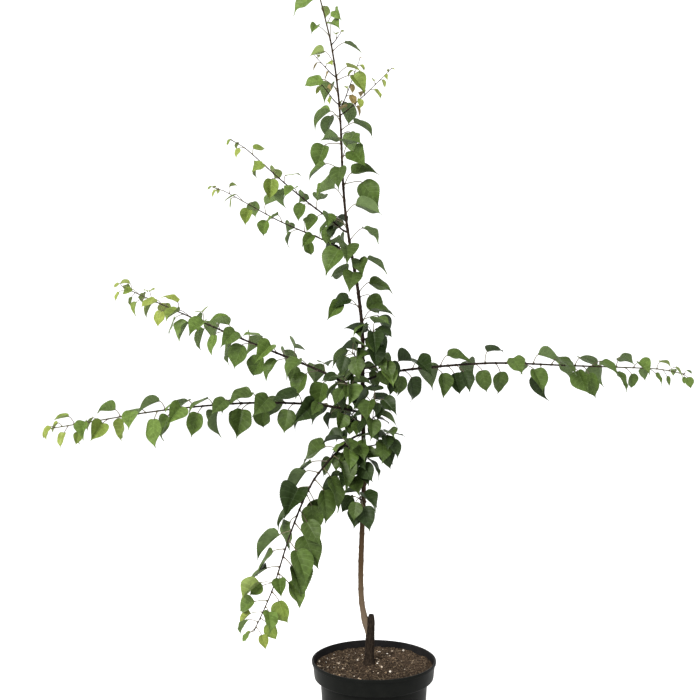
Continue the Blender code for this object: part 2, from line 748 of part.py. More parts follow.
def pot_profiles():
    """The pot's outer and inner wall as radius and height, both from the rim down."""
    lip = POT_RIM_RADIUS
    collar_top = lip - LIP_OVERHANG
    collar_low = collar_top - COLLAR_TAPER
    body_top = collar_low - COLLAR_STEP
    step_height = POT_HEIGHT - COLLAR_HEIGHT
    outer = [
        (lip - LIP_ROUND, POT_HEIGHT),
        (lip, POT_HEIGHT - LIP_ROUND),
        (lip, POT_HEIGHT - LIP_HEIGHT),
        (collar_top, POT_HEIGHT - LIP_HEIGHT),
        (collar_low, step_height),
        (body_top + SHOULDER_OUT, step_height - SHOULDER_MIDDLE),
        (body_top, step_height - SHOULDER_DROP),
        (POT_BASE_RADIUS, FOOT_HEIGHT),
        (POT_BASE_RADIUS - FOOT_BEVEL, 0.0),
    ]
    inner = [
        (collar_top - POT_WALL, POT_HEIGHT),
        (collar_low - POT_WALL, step_height + POT_WALL),
        (body_top - POT_WALL, step_height - INNER_SHOULDER),
        (POT_BASE_RADIUS - POT_WALL, POT_FLOOR + FLOOR_BEVEL),
        (POT_BASE_RADIUS - POT_WALL - FLOOR_BEVEL, POT_FLOOR),
    ]
    return outer, inner


def make_pot(collection, cutters, mat):
    outer, inner = pot_profiles()
    profile = [(0.0, POT_FLOOR)] + inner[::-1] + outer + [(0.0, 0.0)]
    pot = turned("pot", profile, POT_STEPS, collection, mat)
    for k in range(DRAIN_HOLES):
        turn = 2 * math.pi * (k + 0.5) / DRAIN_HOLES
        bm = bmesh.new()
        bmesh.ops.create_cone(bm, cap_ends=True, segments=DRAIN_SIDES, radius1=DRAIN_RADIUS,
                              radius2=DRAIN_RADIUS, depth=4 * POT_FLOOR)
        cutter = from_bmesh("drain_hole_%d" % k, bm, cutters)
        out = Vector((math.cos(turn), math.sin(turn), 0.0))
        cutter.location = out * DRAIN_CIRCLE_RADIUS + UP * POT_FLOOR / 2
        cutter.hide_render = True
        cutter.display_type = "WIRE"
    cut = pot.modifiers.new("drain holes", "BOOLEAN")
    cut.operation = "DIFFERENCE"
    cut.operand_type = "COLLECTION"
    cut.collection = cutters
    cut.solver = "EXACT"
    return pot


def make_compost(collection, mat):
    """The filling, 0.3 mm clear of the pot's inner wall, and flat where the stem stands."""
    _, inner = pot_profiles()
    rim, step, body, low, floor = inner
    side = SOIL_HEIGHT - SOIL_FALL
    share = (side - step[1]) / (rim[1] - step[1])
    wall = step[0] + (rim[0] - step[0]) * share
    tight = 1.5 * GAP
    profile = [
        (0.0, SOIL_HEIGHT),
        (SOIL_FLAT_RADIUS, SOIL_HEIGHT),
        (wall - SOIL_EDGE, side + SOIL_EDGE_RISE),
        (wall - tight, side),
        (step[0] - tight, step[1] + tight),
        (body[0] - tight, body[1] + tight),
        (low[0] - tight, low[1] + tight),
        (floor[0] - tight, floor[1] + GAP),
        (0.0, floor[1] + GAP),
    ]
    return turned("compost", profile, COMPOST_STEPS, collection, mat)


def make_trunk(trunk, collection, operands, mat):
    """The scion with its leader, fused with the rootstock that ends in a pruned stub."""
    rows = [Vector((x, 0.0, z, d)) * MM for x, z, d in ROOTSTOCK]
    rootstock = Limb([Vector(row[:3]) for row in rows], [row[3] / 2 for row in rows])
    limb_object("rootstock", rootstock, operands, None, ROOTSTOCK_ROUNDNESS)
    obj = limb_object("trunk", trunk, collection, mat, TRUNK_ROUNDNESS)
    fuse(obj, operands)
    return obj


def shade(obj):
    obj.data.shade_smooth()
    obj.data.set_sharp_from_angle(angle=math.radians(SHARP_ANGLE))


def main():
    for obj in list(bpy.data.objects):
        bpy.data.objects.remove(obj, do_unlink=True)
    scene = bpy.context.scene.collection
    tree = bpy.data.collections.new("potted_apricot_tree")
    operands = bpy.data.collections.new("fused_in")
    cutters = bpy.data.collections.new("cutters")
    for collection in (tree, operands, cutters):
        scene.children.link(collection)

    plastic = material("pot_plastic", (0.012, 0.012, 0.014), 0.42)
    earth = material("compost", (0.075, 0.045, 0.030), 0.95)
    bark = material("bark", (0.085, 0.055, 0.042), 0.70)
    young_bark = material("young_bark", (0.070, 0.035, 0.035), 0.50)
    green = material("leaf_green", (0.070, 0.170, 0.030), 0.50)

    trunk, limbs, masses = plan_tree()
    parts = [make_pot(tree, cutters, plastic), make_compost(tree, earth)]
    parts.append(make_trunk(trunk, tree, operands, bark))
    for name, limb in limbs:
        parts.append(limb_object(name, limb, tree, young_bark, BOUGH_ROUNDNESS))
    for name, stem, leaves in masses:
        parts.append(mass_object(name, stem, leaves, tree, operands, green))
    scene.children.unlink(operands)
    bpy.data.collections.remove(operands)

    root = bpy.data.objects.new("plant_origin", None)
    tree.objects.link(root)
    for obj in parts:
        obj.parent = root
        shade(obj)


main()
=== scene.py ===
"""Looks of a potted bush apricot tree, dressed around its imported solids.

The limbs and leaves are worked out by the rule, sizes and seeds that the solids have, and are made
finer here: bark with relief, buds, thin arching stalks, and folded blades with a toothed rim and
sunken veins. Metres, +Z up, and the tree is looked at along +Y.
"""

import json
import math
import random

import bmesh
import bpy
import numpy as np
from mathutils import Euler, Matrix, Vector, noise
from mathutils.bvhtree import BVHTree

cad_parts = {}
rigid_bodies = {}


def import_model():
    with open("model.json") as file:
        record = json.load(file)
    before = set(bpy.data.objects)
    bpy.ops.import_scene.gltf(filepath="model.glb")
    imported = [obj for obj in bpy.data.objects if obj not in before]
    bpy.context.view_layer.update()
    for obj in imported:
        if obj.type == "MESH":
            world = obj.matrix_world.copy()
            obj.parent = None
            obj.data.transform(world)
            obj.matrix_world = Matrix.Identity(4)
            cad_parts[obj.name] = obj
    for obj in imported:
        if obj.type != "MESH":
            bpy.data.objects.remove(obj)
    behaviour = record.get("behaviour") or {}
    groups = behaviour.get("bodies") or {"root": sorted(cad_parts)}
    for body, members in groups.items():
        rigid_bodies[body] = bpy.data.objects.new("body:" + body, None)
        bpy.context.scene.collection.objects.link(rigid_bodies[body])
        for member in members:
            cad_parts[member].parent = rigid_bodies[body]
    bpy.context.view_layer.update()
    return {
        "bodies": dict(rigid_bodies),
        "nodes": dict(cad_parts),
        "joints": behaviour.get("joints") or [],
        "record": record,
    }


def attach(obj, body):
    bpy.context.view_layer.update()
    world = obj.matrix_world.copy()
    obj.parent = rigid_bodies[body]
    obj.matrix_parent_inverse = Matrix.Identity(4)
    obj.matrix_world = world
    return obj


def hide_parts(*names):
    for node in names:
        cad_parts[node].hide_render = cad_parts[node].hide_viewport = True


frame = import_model()

MM = 0.001
GAP = 0.3 * MM
UP = Vector((0.0, 0.0, 1.0))
DOWN = -UP
FRONT = Vector((0.0, -1.0, 0.0))
LIGHT = Vector((-0.15, -0.80, 0.55)).normalized()  # the side that the leaves turn to

# Pot
POT_HEIGHT = 213 * MM
POT_RIM_RADIUS = 130 * MM
POT_BASE_RADIUS = 100 * MM
POT_WALL = 2.0 * MM
POT_FLOOR = 2.5 * MM
LIP_HEIGHT = 6 * MM
LIP_OVERHANG = 2 * MM
LIP_ROUND = 0.8 * MM
COLLAR_HEIGHT = 36 * MM
COLLAR_TAPER = 3.5 * MM
COLLAR_STEP = 12.5 * MM
SHOULDER_OUT = 1.5 * MM
SHOULDER_MIDDLE = 2.5 * MM
SHOULDER_DROP = 5 * MM
FOOT_HEIGHT = 3 * MM
FOOT_BEVEL = 2 * MM
FLOOR_BEVEL = 1 * MM
INNER_SHOULDER = 2 * MM
DRAIN_HOLES = 8
DRAIN_RADIUS = 6 * MM
DRAIN_CIRCLE_RADIUS = 72 * MM
DRAIN_SEGMENTS = 32
POT_SEGMENTS = 160
POT_CORNER = 2.4 * MM  # radius of the pot's moulded corners
POT_CORNER_STEPS = 5
CORNER_SHARE = 0.45  # the most of a side that a corner takes up

# Compost
SOIL_HEIGHT = 198 * MM
SOIL_RISE = 3.0 * MM  # of the middle above its plain height
SOIL_FALL = 2.5 * MM
SOIL_TIGHT = 1.5 * GAP  # clear of the pot's wall
SOIL_RINGS = 84
SOIL_SEGMENTS = 230
SOIL_CALM = 0.6  # how much smoother the compost is at the wall
SOIL_LUMPS = ((45 * MM, 4.0 * MM), (15 * MM, 4.6 * MM), (6 * MM, 2.6 * MM), (2.4 * MM, 1.0 * MM))
SOIL_HEAP = 4 * MM  # at the foot of the stem
SOIL_HEAP_RADIUS = 30 * MM
# painted shade and light: the compost's colours are darkened in front and lightened at the back
SOIL_SHADES = (0.60, 1.50)  # of its colours, at the front and at the back
STEM_FOOT_X = -9.5 * MM
STEM_FOOT_RADIUS = 15 * MM

# Rootstock: across, height and diameter in millimetres, from the cut at the soil to the stub
ROOTSTOCK = (
    (-9.5, 198.3, 29.0),
    (-9.5, 202.0, 24.5),
    (-9.3, 211.0, 20.5),
    (-8.8, 235.0, 19.0),
    (-7.6, 268.0, 18.5),
    (-6.2, 293.0, 18.0),
    (-5.6, 302.0, 16.0),
    (-5.2, 306.0, 10.0),
)
# Scion and leader: across, away from the light, height and diameter in millimetres
LEADER = (
    (-11.0, 0.0, 262, 11.0),
    (-19.5, 1.0, 298, 12.0),
    (-26.0, 2.0, 332, 11.6),
    (-27.5, 2.5, 400, 11.0),
    (-23.5, 2.0, 505, 10.2),
    (-21.0, 0.0, 580, 9.6),
    (-22.0, -1.5, 680, 8.8),
    (-23.5, -1.0, 830, 7.8),
    (-23.5, 0.5, 895, 7.2),
    (-33.5, 1.5, 988, 6.4),
    (-48.5, 1.5, 1070, 5.7),
    (-57.0, 0.5, 1125, 5.3),
    (-64.5, 0.0, 1205, 4.9),
    (-69.5, 0.0, 1330, 4.2),
    (-76.5, 0.5, 1415, 3.8),
    (-90.0, 1.0, 1505, 3.2),
    (-112.0, 1.5, 1594, 2.7),
    (-127.0, 1.0, 1665, 2.1),
    (-134.0, 0.0, 1728, 1.7),
    (-136.0, -1.0, 1770, 1.4),
)
LEADER_WHOLE_TO = 1590 * MM
LIMB_STEP = 42 * MM
CUT_CLEAR = 2 * MM
TAPER_POWER = 1.2
TEST_SIDES = 6  # of a limb's skin in the tests of what touches what

# Boughs, in millimetres: height on the leader, bearing in degrees from +X towards +Y, reach and rise
# along the limb, diameters, bare length, and the spacing, length, stalk and seed of its leaves
BOUGHS = (
    dict(name="right", height=797, bearing=8, thick=5.4, thin=1.9, bare=64,
         line=((40, 13), (90, 21), (270, 35), (460, 29), (660, 21), (716, 10)),
         spacing=21, leaf=51, stalk=24, seed=208),
    dict(name="left_middle", height=778, bearing=160, thick=5.4, thin=1.7, bare=62,
         line=((50, 17), (115, 45), (320, 121), (545, 210), (588, 229)),
         spacing=16, leaf=51, stalk=25, seed=884),
    dict(name="left_lower", height=730, bearing=188, thick=5.0, thin=1.7, bare=60,
         line=((50, 9), (116, 18), (244, 21), (408, 8), (545, -13), (638, -28)),
         spacing=20.5, leaf=50, stalk=21, seed=127),
    dict(name="drooping", height=684, bearing=220, thick=4.8, thin=1.8, bare=62,
         line=((30, -6), (54, -20), (130, -82), (186, -177), (233, -290), (276, -360)),
         spacing=17, leaf=61, stalk=28, seed=930, ranks=(35, 180)),
    dict(name="upper_left_high", height=1107, bearing=170, thick=3.6, thin=1.4, bare=44,
         line=((30, 22), (84, 63), (147, 116), (226, 187), (256, 204)),
         spacing=21, leaf=42, stalk=15, seed=64),
    dict(name="upper_left_low", height=1063, bearing=150, thick=3.1, thin=1.3, bare=50,
         line=((50, 24), (107, 48), (187, 82), (336, 160), (362, 168)),
         spacing=22.5, leaf=40, stalk=19, seed=513),
)

# Spurs with crowded leaves round the middle of the trunk: height and reach in millimetres, with the
# bearing in degrees between them, and the seed of the leaves
SPURS = (
    (542, 261, 41, 869),
    (579, 215, 36, 322),
    (616, 253, 28, 419),
    (644, 232, 52, 421),
    (658, 327, 52, 452),
    (708, 122, 46, 75),
    (704, 294, 45, 898),
    (738, 294, 51, 110),
    (771, 228, 45, 136),
    (796, 95, 44, 536),
    (821, 346, 37, 157),
    (838, 243, 40, 111),
    (882, 298, 40, 525),
)
SPUR_SLOPE = 0.42
SPUR_THICK = 3.0 * MM
SPUR_THIN = 1.7 * MM
SPUR_LEAF = 46 * MM
SPUR_STALK = 17 * MM
SPUR_LEAN = (35, 75)
SPUR_LEAF_SPACING = 15 * MM
SPUR_LEAST_LEAVES = 4
SPUR_KNEE = (0.5, 0.1)
SPUR_BARE = 0.35
SPUR_LEAFY = 0.63
SPUR_LEAF_SIZES = (0.78, 1.12)
SPUR_STALK_SIZES = (0.8, 1.3)

# Very short spurs up the leader, to the right and the left in turn, each with its own seed
LEADER_SPUR_SEEDS = (887, 181, 598, 549, 213, 288, 802, 644, 154, 701, 439, 380,
                     382, 503, 402, 597, 848, 641, 247, 889, 961, 489, 370, 57)
LEADER_SPUR_COUNT = len(LEADER_SPUR_SEEDS)
LEADER_SPUR_FIRST = 918 * MM
LEADER_SPUR_SPACING = 28.4 * MM
LEADER_SPUR_SWING = 62.0
LEADER_SPUR_REACH = 7 * MM
LEADER_SPUR_THICK = 2.4 * MM
LEADER_LEAF = (49 * MM, 11 * MM, 13 * MM)
LEADER_STALK = 25 * MM
LEADER_LEAN = (12, 48)
LEADER_SPUR_TWINS = 0.5
SPUR_TRIES = 12
SPUR_STEP_ASIDE = 23.0

# Young side shoots near the top, in millimetres and degrees: height, bearing, reach, rise, seed
TOP_SHOOTS = (
    ("top_shoot_right", 1367, 22, 46, 108, 439),
    ("top_shoot_far_right", 1352, -10, 108, 92, 505),
    ("top_shoot_left", 1374, 172, 42, 50, 883),
    ("top_shoot_upper_left", 1432, 196, 48, 42, 764),
    ("top_shoot_stub", 1500, 5, 20, 26, 326),
)
TOP_SHOOT_THICK = 2.2 * MM
TOP_SHOOT_THIN = 1.0 * MM
TOP_SHOOT_MIDDLE = (0.5, 0.45)
TOP_SHOOT_RULE = dict(first=16, spacing=14, leaf=22, stalk=8)
LEADER_TIP_RULE = dict(first=8, spacing=19, leaf=40, stalk=19)
LEADER_TIP_SEED = 688
BOUGH_FIRST_LEAF = 5

# The plain leaf and the rule of its place, as the solids have them
LEAF_OUTLINE = ((0.14, -0.36), (0.52, -0.40), (1.0, 0.0), (0.52, 0.40), (0.14, 0.36))
LEAF_MIDDLE = 0.40
LEAF_THICKNESS = 0.018
LEAF_LEAST_THICKNESS = 0.6 * MM
STALK_LEAST_RADIUS = 0.35 * MM
STALK_SHARE = 0.009
STALK_FOOT = 0.55
LEAF_FOLD = (0.15, 0.55)
LEAF_CURL = (0.02, 0.14)
LEAF_TURN = 144.0
LEAF_ABOVE_POT = 10 * MM
LEAF_NEAR = 130 * MM
LEAF_TRIES = 14
TRY_TURN = (16, 9)
TRY_LEAN = (0.85, 1.15)
UPRIGHT = 0.2
STALK_LIFT = 0.12
STALK_RISE_KEPT = 0.3
STALK_BEND = 0.25
STALK_BEND_STEP = 0.2
STALK_NEAR_STEM = 0.3
HANG_LEAST = 0.30
HANG_BELOW = 0.42
HANG_CHANCE = 0.12
BLADE_SWAY = 0.16
FACE_OUT = 0.35
FACE_UP = 0.55
FACE_LIGHT = 0.75
FACE_UP_ABOVE = 0.9
FACE_LESS_ABOVE = 0.8
FACE_ROLL = 42
SHOOT_LEAN = (48, 68)
SHOOT_END = 6 * MM
LEAF_SIZES = (0.84, 1.14)
LEAF_AT_TIP = (0.42, 1.7)
STALK_SIZES = (0.8, 1.15)
STALK_PLAIN = 0.6
SPACINGS = (0.75, 1.2)
SPACING_AT_TIP = (0.5, 2)
TUFT_SIZES = (0.26, 0.42)
TUFT_LEAN = (18, 48)
TUFT_FIRST = 1.0 * MM
TUFT_STEP = 2.5 * MM
TUFT_STALK = 0.4
LEAF_CLEAR = 0.5 * MM
LIMB_CLEAR = 0.6 * MM
SHOOT_REACH = 88 * MM
TIP_TUFT = 3

# Smaller leaves between those of the solids, in the thick of the tree and along the fuller boughs
INNER_SEED = 431
INNER_ON_SPUR = 2
INNER_ON_BOUGH = 5
INNER_ON_TRUNK = 11
INNER_TRUNK = (560 * MM, 705 * MM)
INNER_TRUNK_SWING = math.radians(65)  # to either side of the front
INNER_SIZES = (0.55, 0.95)
INNER_ON_SHOOT = {"shoot_left_lower": 4, "shoot_drooping": 4}
INNER_SHOOT_SIZES = (0.55, 0.85)
# Size of the blades of each kind of mass, beside the thicker leaves of its solid
BLADE_SIZES = (
    ("shoot_right", 0.98),
    ("shoot_left_middle", 0.97),
    ("shoot_upper", 0.86),
    ("shoot_", 1.03),
    ("top_shoot", 0.98),
    ("leader_tip", 1.10),
    ("leader_spray", 0.94),
    ("", 0.94),
)

# The finer blade: the right half of its rim as shares of its length, from the stalk to the tip
BLADE_RIM = ((0.0, 0.04), (-0.005, 0.12), (0.015, 0.22), (0.08, 0.325), (0.19, 0.400), (0.34, 0.430),
             (0.50, 0.398), (0.64, 0.312), (0.75, 0.213), (0.84, 0.122), (0.91, 0.056), (0.97, 0.022),
             (1.04, 0.006))
BLADE_END = 1.04
BLADE_SKEW = (-0.03, 0.08)  # how far the broadest place is moved towards the tip
BLADE_COLUMNS = (0.25, 0.62, 1.0)
RIM_STEP = 0.02
VEINS = 7  # side veins on either half
VEIN_LAST = 0.2  # from the last vein to the tip, in steps between veins
VEIN_PLACE = 0.75
VEIN_HALF = 0.0035
VEIN_POWER = 2.2  # how far the side veins lean towards the tip
VEIN_BEND = 1.2
VEIN_DEPTH = 0.015
VEIN_ENDS = (0.1, 0.95)  # where across a half the leaf stands between its veins
MIDRIB_HALF = 0.009
MIDRIB_TAPER = 0.85
MIDRIB_DEPTH = 0.012
MIDRIB_RISE = 0.016  # on the lower face, at the stalk
BLADE_ROWS = (0.35, 0.68)  # between one side vein and the next
NOTCH = 0.10  # depth between two teeth, of the rim's outermost strip
NOTCH_PLACE = 0.25  # just after a tooth's point, so that it looks to the blade's tip
LAST_ROW = 0.985
BLADE_THICK = 0.30 * MM
BLADE_WIDTHS = (0.84, 1.02)
YOUNG_WIDTH = 0.60
GROWN_LENGTH = 34 * MM
BLADE_FOLDS = (1.0, 2.6)
BLADE_BOW = (0.15, 0.65)
BLADE_CURLS = (1.0, 2.4)
TIP_START = 0.70
TIP_BEND = (0.0, 1.8)
BLADE_TWIST = (-0.35, 0.35)
BLADE_RIPPLE = (0.006, 0.040)
BLADE_WAVES = (1.2, 2.8)
BLADE_WANDER = (0.0, 0.07)  # of the rim, in the blade's own plane
NODE_SPACING = 9 * MM  # between the leaves of one spur on the leader
LEADER_LEAF_SHRINK = 0.22
STALK_SIDES = 5
STALK_RINGS = 7
STALK_ARCH = 0.20
STALK_THIN = 0.48 * MM
STALK_THIN_SHARE = 0.0080
STALK_FLARE = 0.7
STALK_FLARE_POWER = 5
STALK_SUNK = 0.03  # into the blade
PIECE_LEAVES = 150  # the most leaves in one piece

# Bark
LEADER_SIDES = 20
BOUGH_SIDES = 12
SPUR_SIDES = 9
ROOTSTOCK_SIDES = 44
SKIN_STEP = 1.6 * MM
ROOTSTOCK_STEP = 1.3 * MM
ROUND_OFF = 9 * MM  # over which a limb's corners are rounded
FOOT_FLARE = 0.55
FOOT_FLARE_LENGTH = 5 * MM
KNOT = 0.32
KNOT_LENGTH = 1.7 * MM
LEADER_KNOT = 0.20
LEADER_KNOT_LENGTH = 2.6 * MM
SCAR = 0.12
SCAR_FIRST = 330 * MM
SCAR_SPACING = 29 * MM
SCARS = 8
GRAFT_SWELL = 0.28
GRAFT_PLACE = 30 * MM
GRAFT_LENGTH = 16 * MM
STREAK_TURNS = 1.4
STREAK_LENGTHS = 26.0
PIT_TURNS = 3.2
PIT_LENGTHS = 300.0
BUD_LENGTH = 3.4 * MM
BUD_RADIUS = 1.05 * MM
BUD_SIZES = (0.55, 0.45)
BUD_FULL_STEM = 1.2 * MM
BUD_OUT = 0.7
BUD_HEADING = (0.8, 0.6)  # along the stem and out from it
BUD_PROFILE = ((0.0, 0.55), (0.25, 0.95), (0.5, 1.0), (0.78, 0.6), (1.0, 0.1))
BUD_SIDES = 6
# Depth of the bark's streaks and of its pits, with the seed of the first limb
LEADER_RELIEF = (0.08, 0.08, 3.0)
ROOTSTOCK_RELIEF = (0.13, 0.07, 9.0)
BOUGH_RELIEF = (0.08, 0.07, 11.0)
SPUR_RELIEF = (0.10, 0.10, 31.0)

# Bits on the compost: count, least and greatest radius in millimetres, flatness, how much they lie to
# the left (for the paler bits partly painted light on the compost's left), a dark and a light colour, and
# whether they take the painted shade in front and painted light at the back
BITS = {
    "crumbs_dark": (2600, 0.8, 3.2, (0.45, 0.9), 0.0, (0.016, 0.011, 0.007), (0.082, 0.058, 0.039), True),
    "crumbs_brown": (480, 0.8, 3.0, (0.3, 0.8), 0.1, (0.050, 0.035, 0.022), (0.145, 0.105, 0.074), True),
    "crumbs_tan": (62, 1.2, 4.6, (0.3, 0.7), 0.4, (0.220, 0.170, 0.125), (0.500, 0.430, 0.350), False),
    "crumbs_pale": (30, 1.3, 4.8, (0.3, 0.8), 0.45, (0.480, 0.430, 0.370), (0.780, 0.740, 0.680), False),
    "bark_chips": (60, 2.0, 5.6, (0.12, 0.3), 0.3, (0.100, 0.068, 0.040), (0.400, 0.295, 0.200), True),
}
BIT_SEED = 500
BIT_POWER = 3  # how much commoner small bits are than large ones
BIT_WIDTHS = (0.55, 0.95)
BIT_TILT = 0.6
BIT_SPINS = 7
BIT_CORNERS = (0.78, 1.15)
BIT_LIFT = 0.3
BIT_EDGE = 1.5 * MM  # kept free along the wall
PATCH_SIZE = 22 * MM  # of the places where bits of one kind lie closer
PATCHINESS = 0.5
STRANDS = 300
STRAND_SEED = 600
STRAND_SIDES = 4
STRAND_POINTS = 7
STRAND_EDGE = 12 * MM
STRAND_BENDS = (-0.5, 0.5)
STRAND_STEPS = (1.2, 4.2)
STRAND_RADII = (0.16, 0.42)
STRAND_LIFT = 0.35 * MM

# Finishes that wander between two colours: these, scale, roughness, depth of relief and specular share
FINISHES = {
    "compost": ((0.016, 0.012, 0.009), (0.070, 0.050, 0.034), 240.0, 0.95, 2.0 * MM, 0.10),
    "strand": ((0.080, 0.056, 0.036), (0.280, 0.220, 0.150), 120.0, 0.85, 0.1 * MM, 0.2),
    "stalk": ((0.060, 0.040, 0.034), (0.100, 0.096, 0.050), 60.0, 0.45, 0.05 * MM, 0.3),
    "bud": ((0.035, 0.018, 0.015), (0.085, 0.048, 0.034), 700.0, 0.55, 0.1 * MM, 0.3),
    "floor_paint": ((0.90, 0.90, 0.90), (0.92, 0.92, 0.92), 3.0, 0.8, 0.1 * MM, 0.1),
}
BIT_FINISH = (330.0, 0.92, 0.4 * MM, 0.2)
VEIN_FINISH = (400.0, 0.50, 0.05 * MM, 0.24)
FINISH_DETAIL = 4.0
FINISH_SPAN = (0.35, 0.65)  # of the noise, over which one colour gives way to the other
RELIEF_FINER = 4
RELIEF_DETAIL = 3.0
RELIEF_STRENGTH = 0.35
# Leaf faces: patches, the net of the finest veins, and roughness with specular share on either side
LEAF_PATCHES = (110.0, 3.0, (0.36, 0.64))
NET_SCALE = 430.0  # cells in a metre
NET_WIDTH = 0.14
NET_SHARE = 0.24  # of the rib's colour
NET_SLOPE = 0.3
NET_RELIEF = (0.35, 0.12 * MM)
FACE_SHINE = (0.42, 0.12)
UNDERSIDE_SHINE = (0.62, 0.18)
# Plastic: dark and light colour outside and inside, and its noises and relief
PLASTICS = {
    "black_plastic": ((0.0056, 0.0062, 0.0056), (0.0092, 0.0096, 0.0086)),
    "dusty_plastic": ((0.0170, 0.0165, 0.0170), (0.0260, 0.0240, 0.0240)),
}
PLASTIC_SHINE = (0.42, 0.05)
PLASTIC_DUST = (60.0, 5.0, (0.40, 0.95))
PLASTIC_WANDER = (60.0, 3.0)
PLASTIC_ROUGHNESS = (0.3, 0.7, 0.40, 0.48)
PLASTIC_GRAIN = (1600.0, 2.0)
PLASTIC_RELIEF = (0.08, 0.1 * MM)
# Angles in degrees up to which the pieces are shaded smooth
SHARP = 60
POT_SHARP = 50
LEAF_SHARP = 55
SOIL_SHARP = 70
BIT_SHARP = 30

# Camera and light
CAMERA_PLACE = (-0.05, -1.97, 0.86)
CAMERA_FOCAL = 940.0  # in pixels of a picture 700 wide
PICTURE_WIDTH = 700.0
SENSOR_WIDTH = 36.0
FLOOR_RADIUS = 14.0
FLOOR_SEGMENTS = 96
SURROUND = 1.10  # strength of the even light from all sides
# Soft lights: place, target, diameter, power and colour
LIGHTS = {
    "key": ((-1.9, -3.1, 2.9), (0.0, 0.0, 0.9), 1.8, 230.0, (1.0, 0.985, 0.95)),
    "fill": ((2.6, -2.6, 1.5), (0.0, 0.0, 0.8), 2.4, 20.0, (0.94, 0.97, 1.0)),
}


def polar(radius, turn):
    return radius * math.cos(turn), radius * math.sin(turn)


def quads(rings, sides):
    """Faces between rings of corners, from each ring to the next."""
    faces = []
    for start in range(0, (rings - 1) * sides, sides):
        for i in range(sides):
            a = start + i
            b = start + (i + 1) % sides
            faces.append((a, b, b + sides, a + sides))
    return faces


def smooth(points, step):
    """Points of any length along a Catmull-Rom curve through the given ones."""
    ends = [2 * points[0] - points[1]] + points + [2 * points[-1] - points[-2]]
    out = []
    for before, a, b, after in zip(ends, ends[1:], ends[2:], ends[3:]):
        count = max(1, round((b - a).length / step))
        for i in range(count):
            t = i / count
            out.append(
                0.5 * (2 * a + (b - before) * t + (2 * before - 5 * a + 4 * b - after) * t * t
                       + (3 * a - before - 3 * b + after) * t ** 3)
            )
    return out + [points[-1]]


class Limb:
    """A tapering centre line, with a radius at each of its points."""

    def __init__(self, points, radii, foot=None):
        self.points = [Vector(p) for p in points]
        self.radii = list(radii)
        self.foot = foot
        self.marks = [0.0]
        for a, b in zip(self.points, self.points[1:]):
            self.marks.append(self.marks[-1] + (b - a).length)
        self.length = self.marks[-1]

    def at(self, s):
        """The point, the direction and the radius a way s along the limb."""
        k = 0
        while k < len(self.marks) - 2 and self.marks[k + 1] < s:
            k += 1
        t = (s - self.marks[k]) / (self.marks[k + 1] - self.marks[k])
        a, b = self.points[k], self.points[k + 1]
        return a.lerp(b, t), (b - a).normalized(), self.radii[k] * (1 - t) + self.radii[k + 1] * t

    def stretch(self, start, end):
        """The limb from start to end as a limb of its own."""
        inner = [k for k, m in enumerate(self.marks) if start + CUT_CLEAR < m < end - CUT_CLEAR]
        first, last = self.at(start), self.at(end)
        points = [first[0]] + [self.points[k] for k in inner] + [last[0]]
        radii = [first[2]] + [self.radii[k] for k in inner] + [last[2]]
        return Limb(points, radii)

    def station(self, height):
        """How far along the limb it first reaches a height."""
        for k, (a, b) in enumerate(zip(self.points, self.points[1:])):
            if a.z <= height <= b.z:
                return self.marks[k] + (height - a.z) / (b.z - a.z) * (b - a).length
        return self.length

    def distance(self, point):
        """How far a point lies from the centre line."""
        best = math.inf
        for a, b in zip(self.points, self.points[1:]):
            along = b - a
            t = min(1.0, max(0.0, (point - a).dot(along) / along.length_squared))
            best = min(best, (a + along * t - point).length)
        return best

    def rooted(self):
        """The limb begun from the middle of what carries it."""
        if self.foot is None:
            return self
        return Limb([self.foot] + self.points, [self.radii[0]] + self.radii)

    def rows(self, step):
        """Points and radii close together along the limb, with its corners rounded off."""
        count = max(4, round(self.length / step))
        places = [self.at(self.length * k / count) for k in range(count + 1)]
        rows = np.array([(*point, radius) for point, _, radius in places])
        passes = min(round(2 * (ROUND_OFF / step) ** 2), count * count // 8)
        for _ in range(passes):
            rows[1:-1] = 0.25 * rows[:-2] + 0.5 * rows[1:-1] + 0.25 * rows[2:]
        return rows, np.linspace(0.0, self.length, count + 1)


def leader_limb():
    rows = smooth([Vector(row) * MM for row in LEADER], LIMB_STEP)
    return Limb([Vector(row[:3]) for row in rows], [row[3] / 2 for row in rows])


def side_limb(leader, height, bearing, line, thick, thin):
    """A limb that leaves the leader square to it, and then follows its line."""
    centre, axis, radius = leader.at(leader.station(height))
    out = Vector((*polar(1.0, math.radians(bearing)), 0.0))
    radial = (out - axis * out.dot(axis)).normalized()
    start = centre + radial * (radius + GAP)
    knee = start + radial * thick
    route = [centre + out * reach + UP * rise for reach, rise in line]
    points = [start] + smooth([knee] + route, LIMB_STEP)
    plain = Limb(points, [0.0] * len(points))
    taper = [(thick + (thin - thick) * (m / plain.length) ** TAPER_POWER) / 2 for m in plain.marks]
    return Limb(points, taper, centre)


def limb_tree(limb):
    """A search tree of the limb's skin, a little thicker than the limb."""
    corners = []
    for k, (point, radius) in enumerate(zip(limb.points, limb.radii)):
        before = limb.points[max(0, k - 1)]
        after = limb.points[min(len(limb.points) - 1, k + 1)]
        along = (after - before).normalized()
        across = along.orthogonal().normalized()
        other = along.cross(across)
        for i in range(TEST_SIDES):
            x, y = polar(1.0, 2 * math.pi * i / TEST_SIDES)
            corners.append(point + (across * x + other * y) * (radius + LIMB_CLEAR))
    return BVHTree.FromPolygons(corners, quads(len(limb.points), TEST_SIDES))


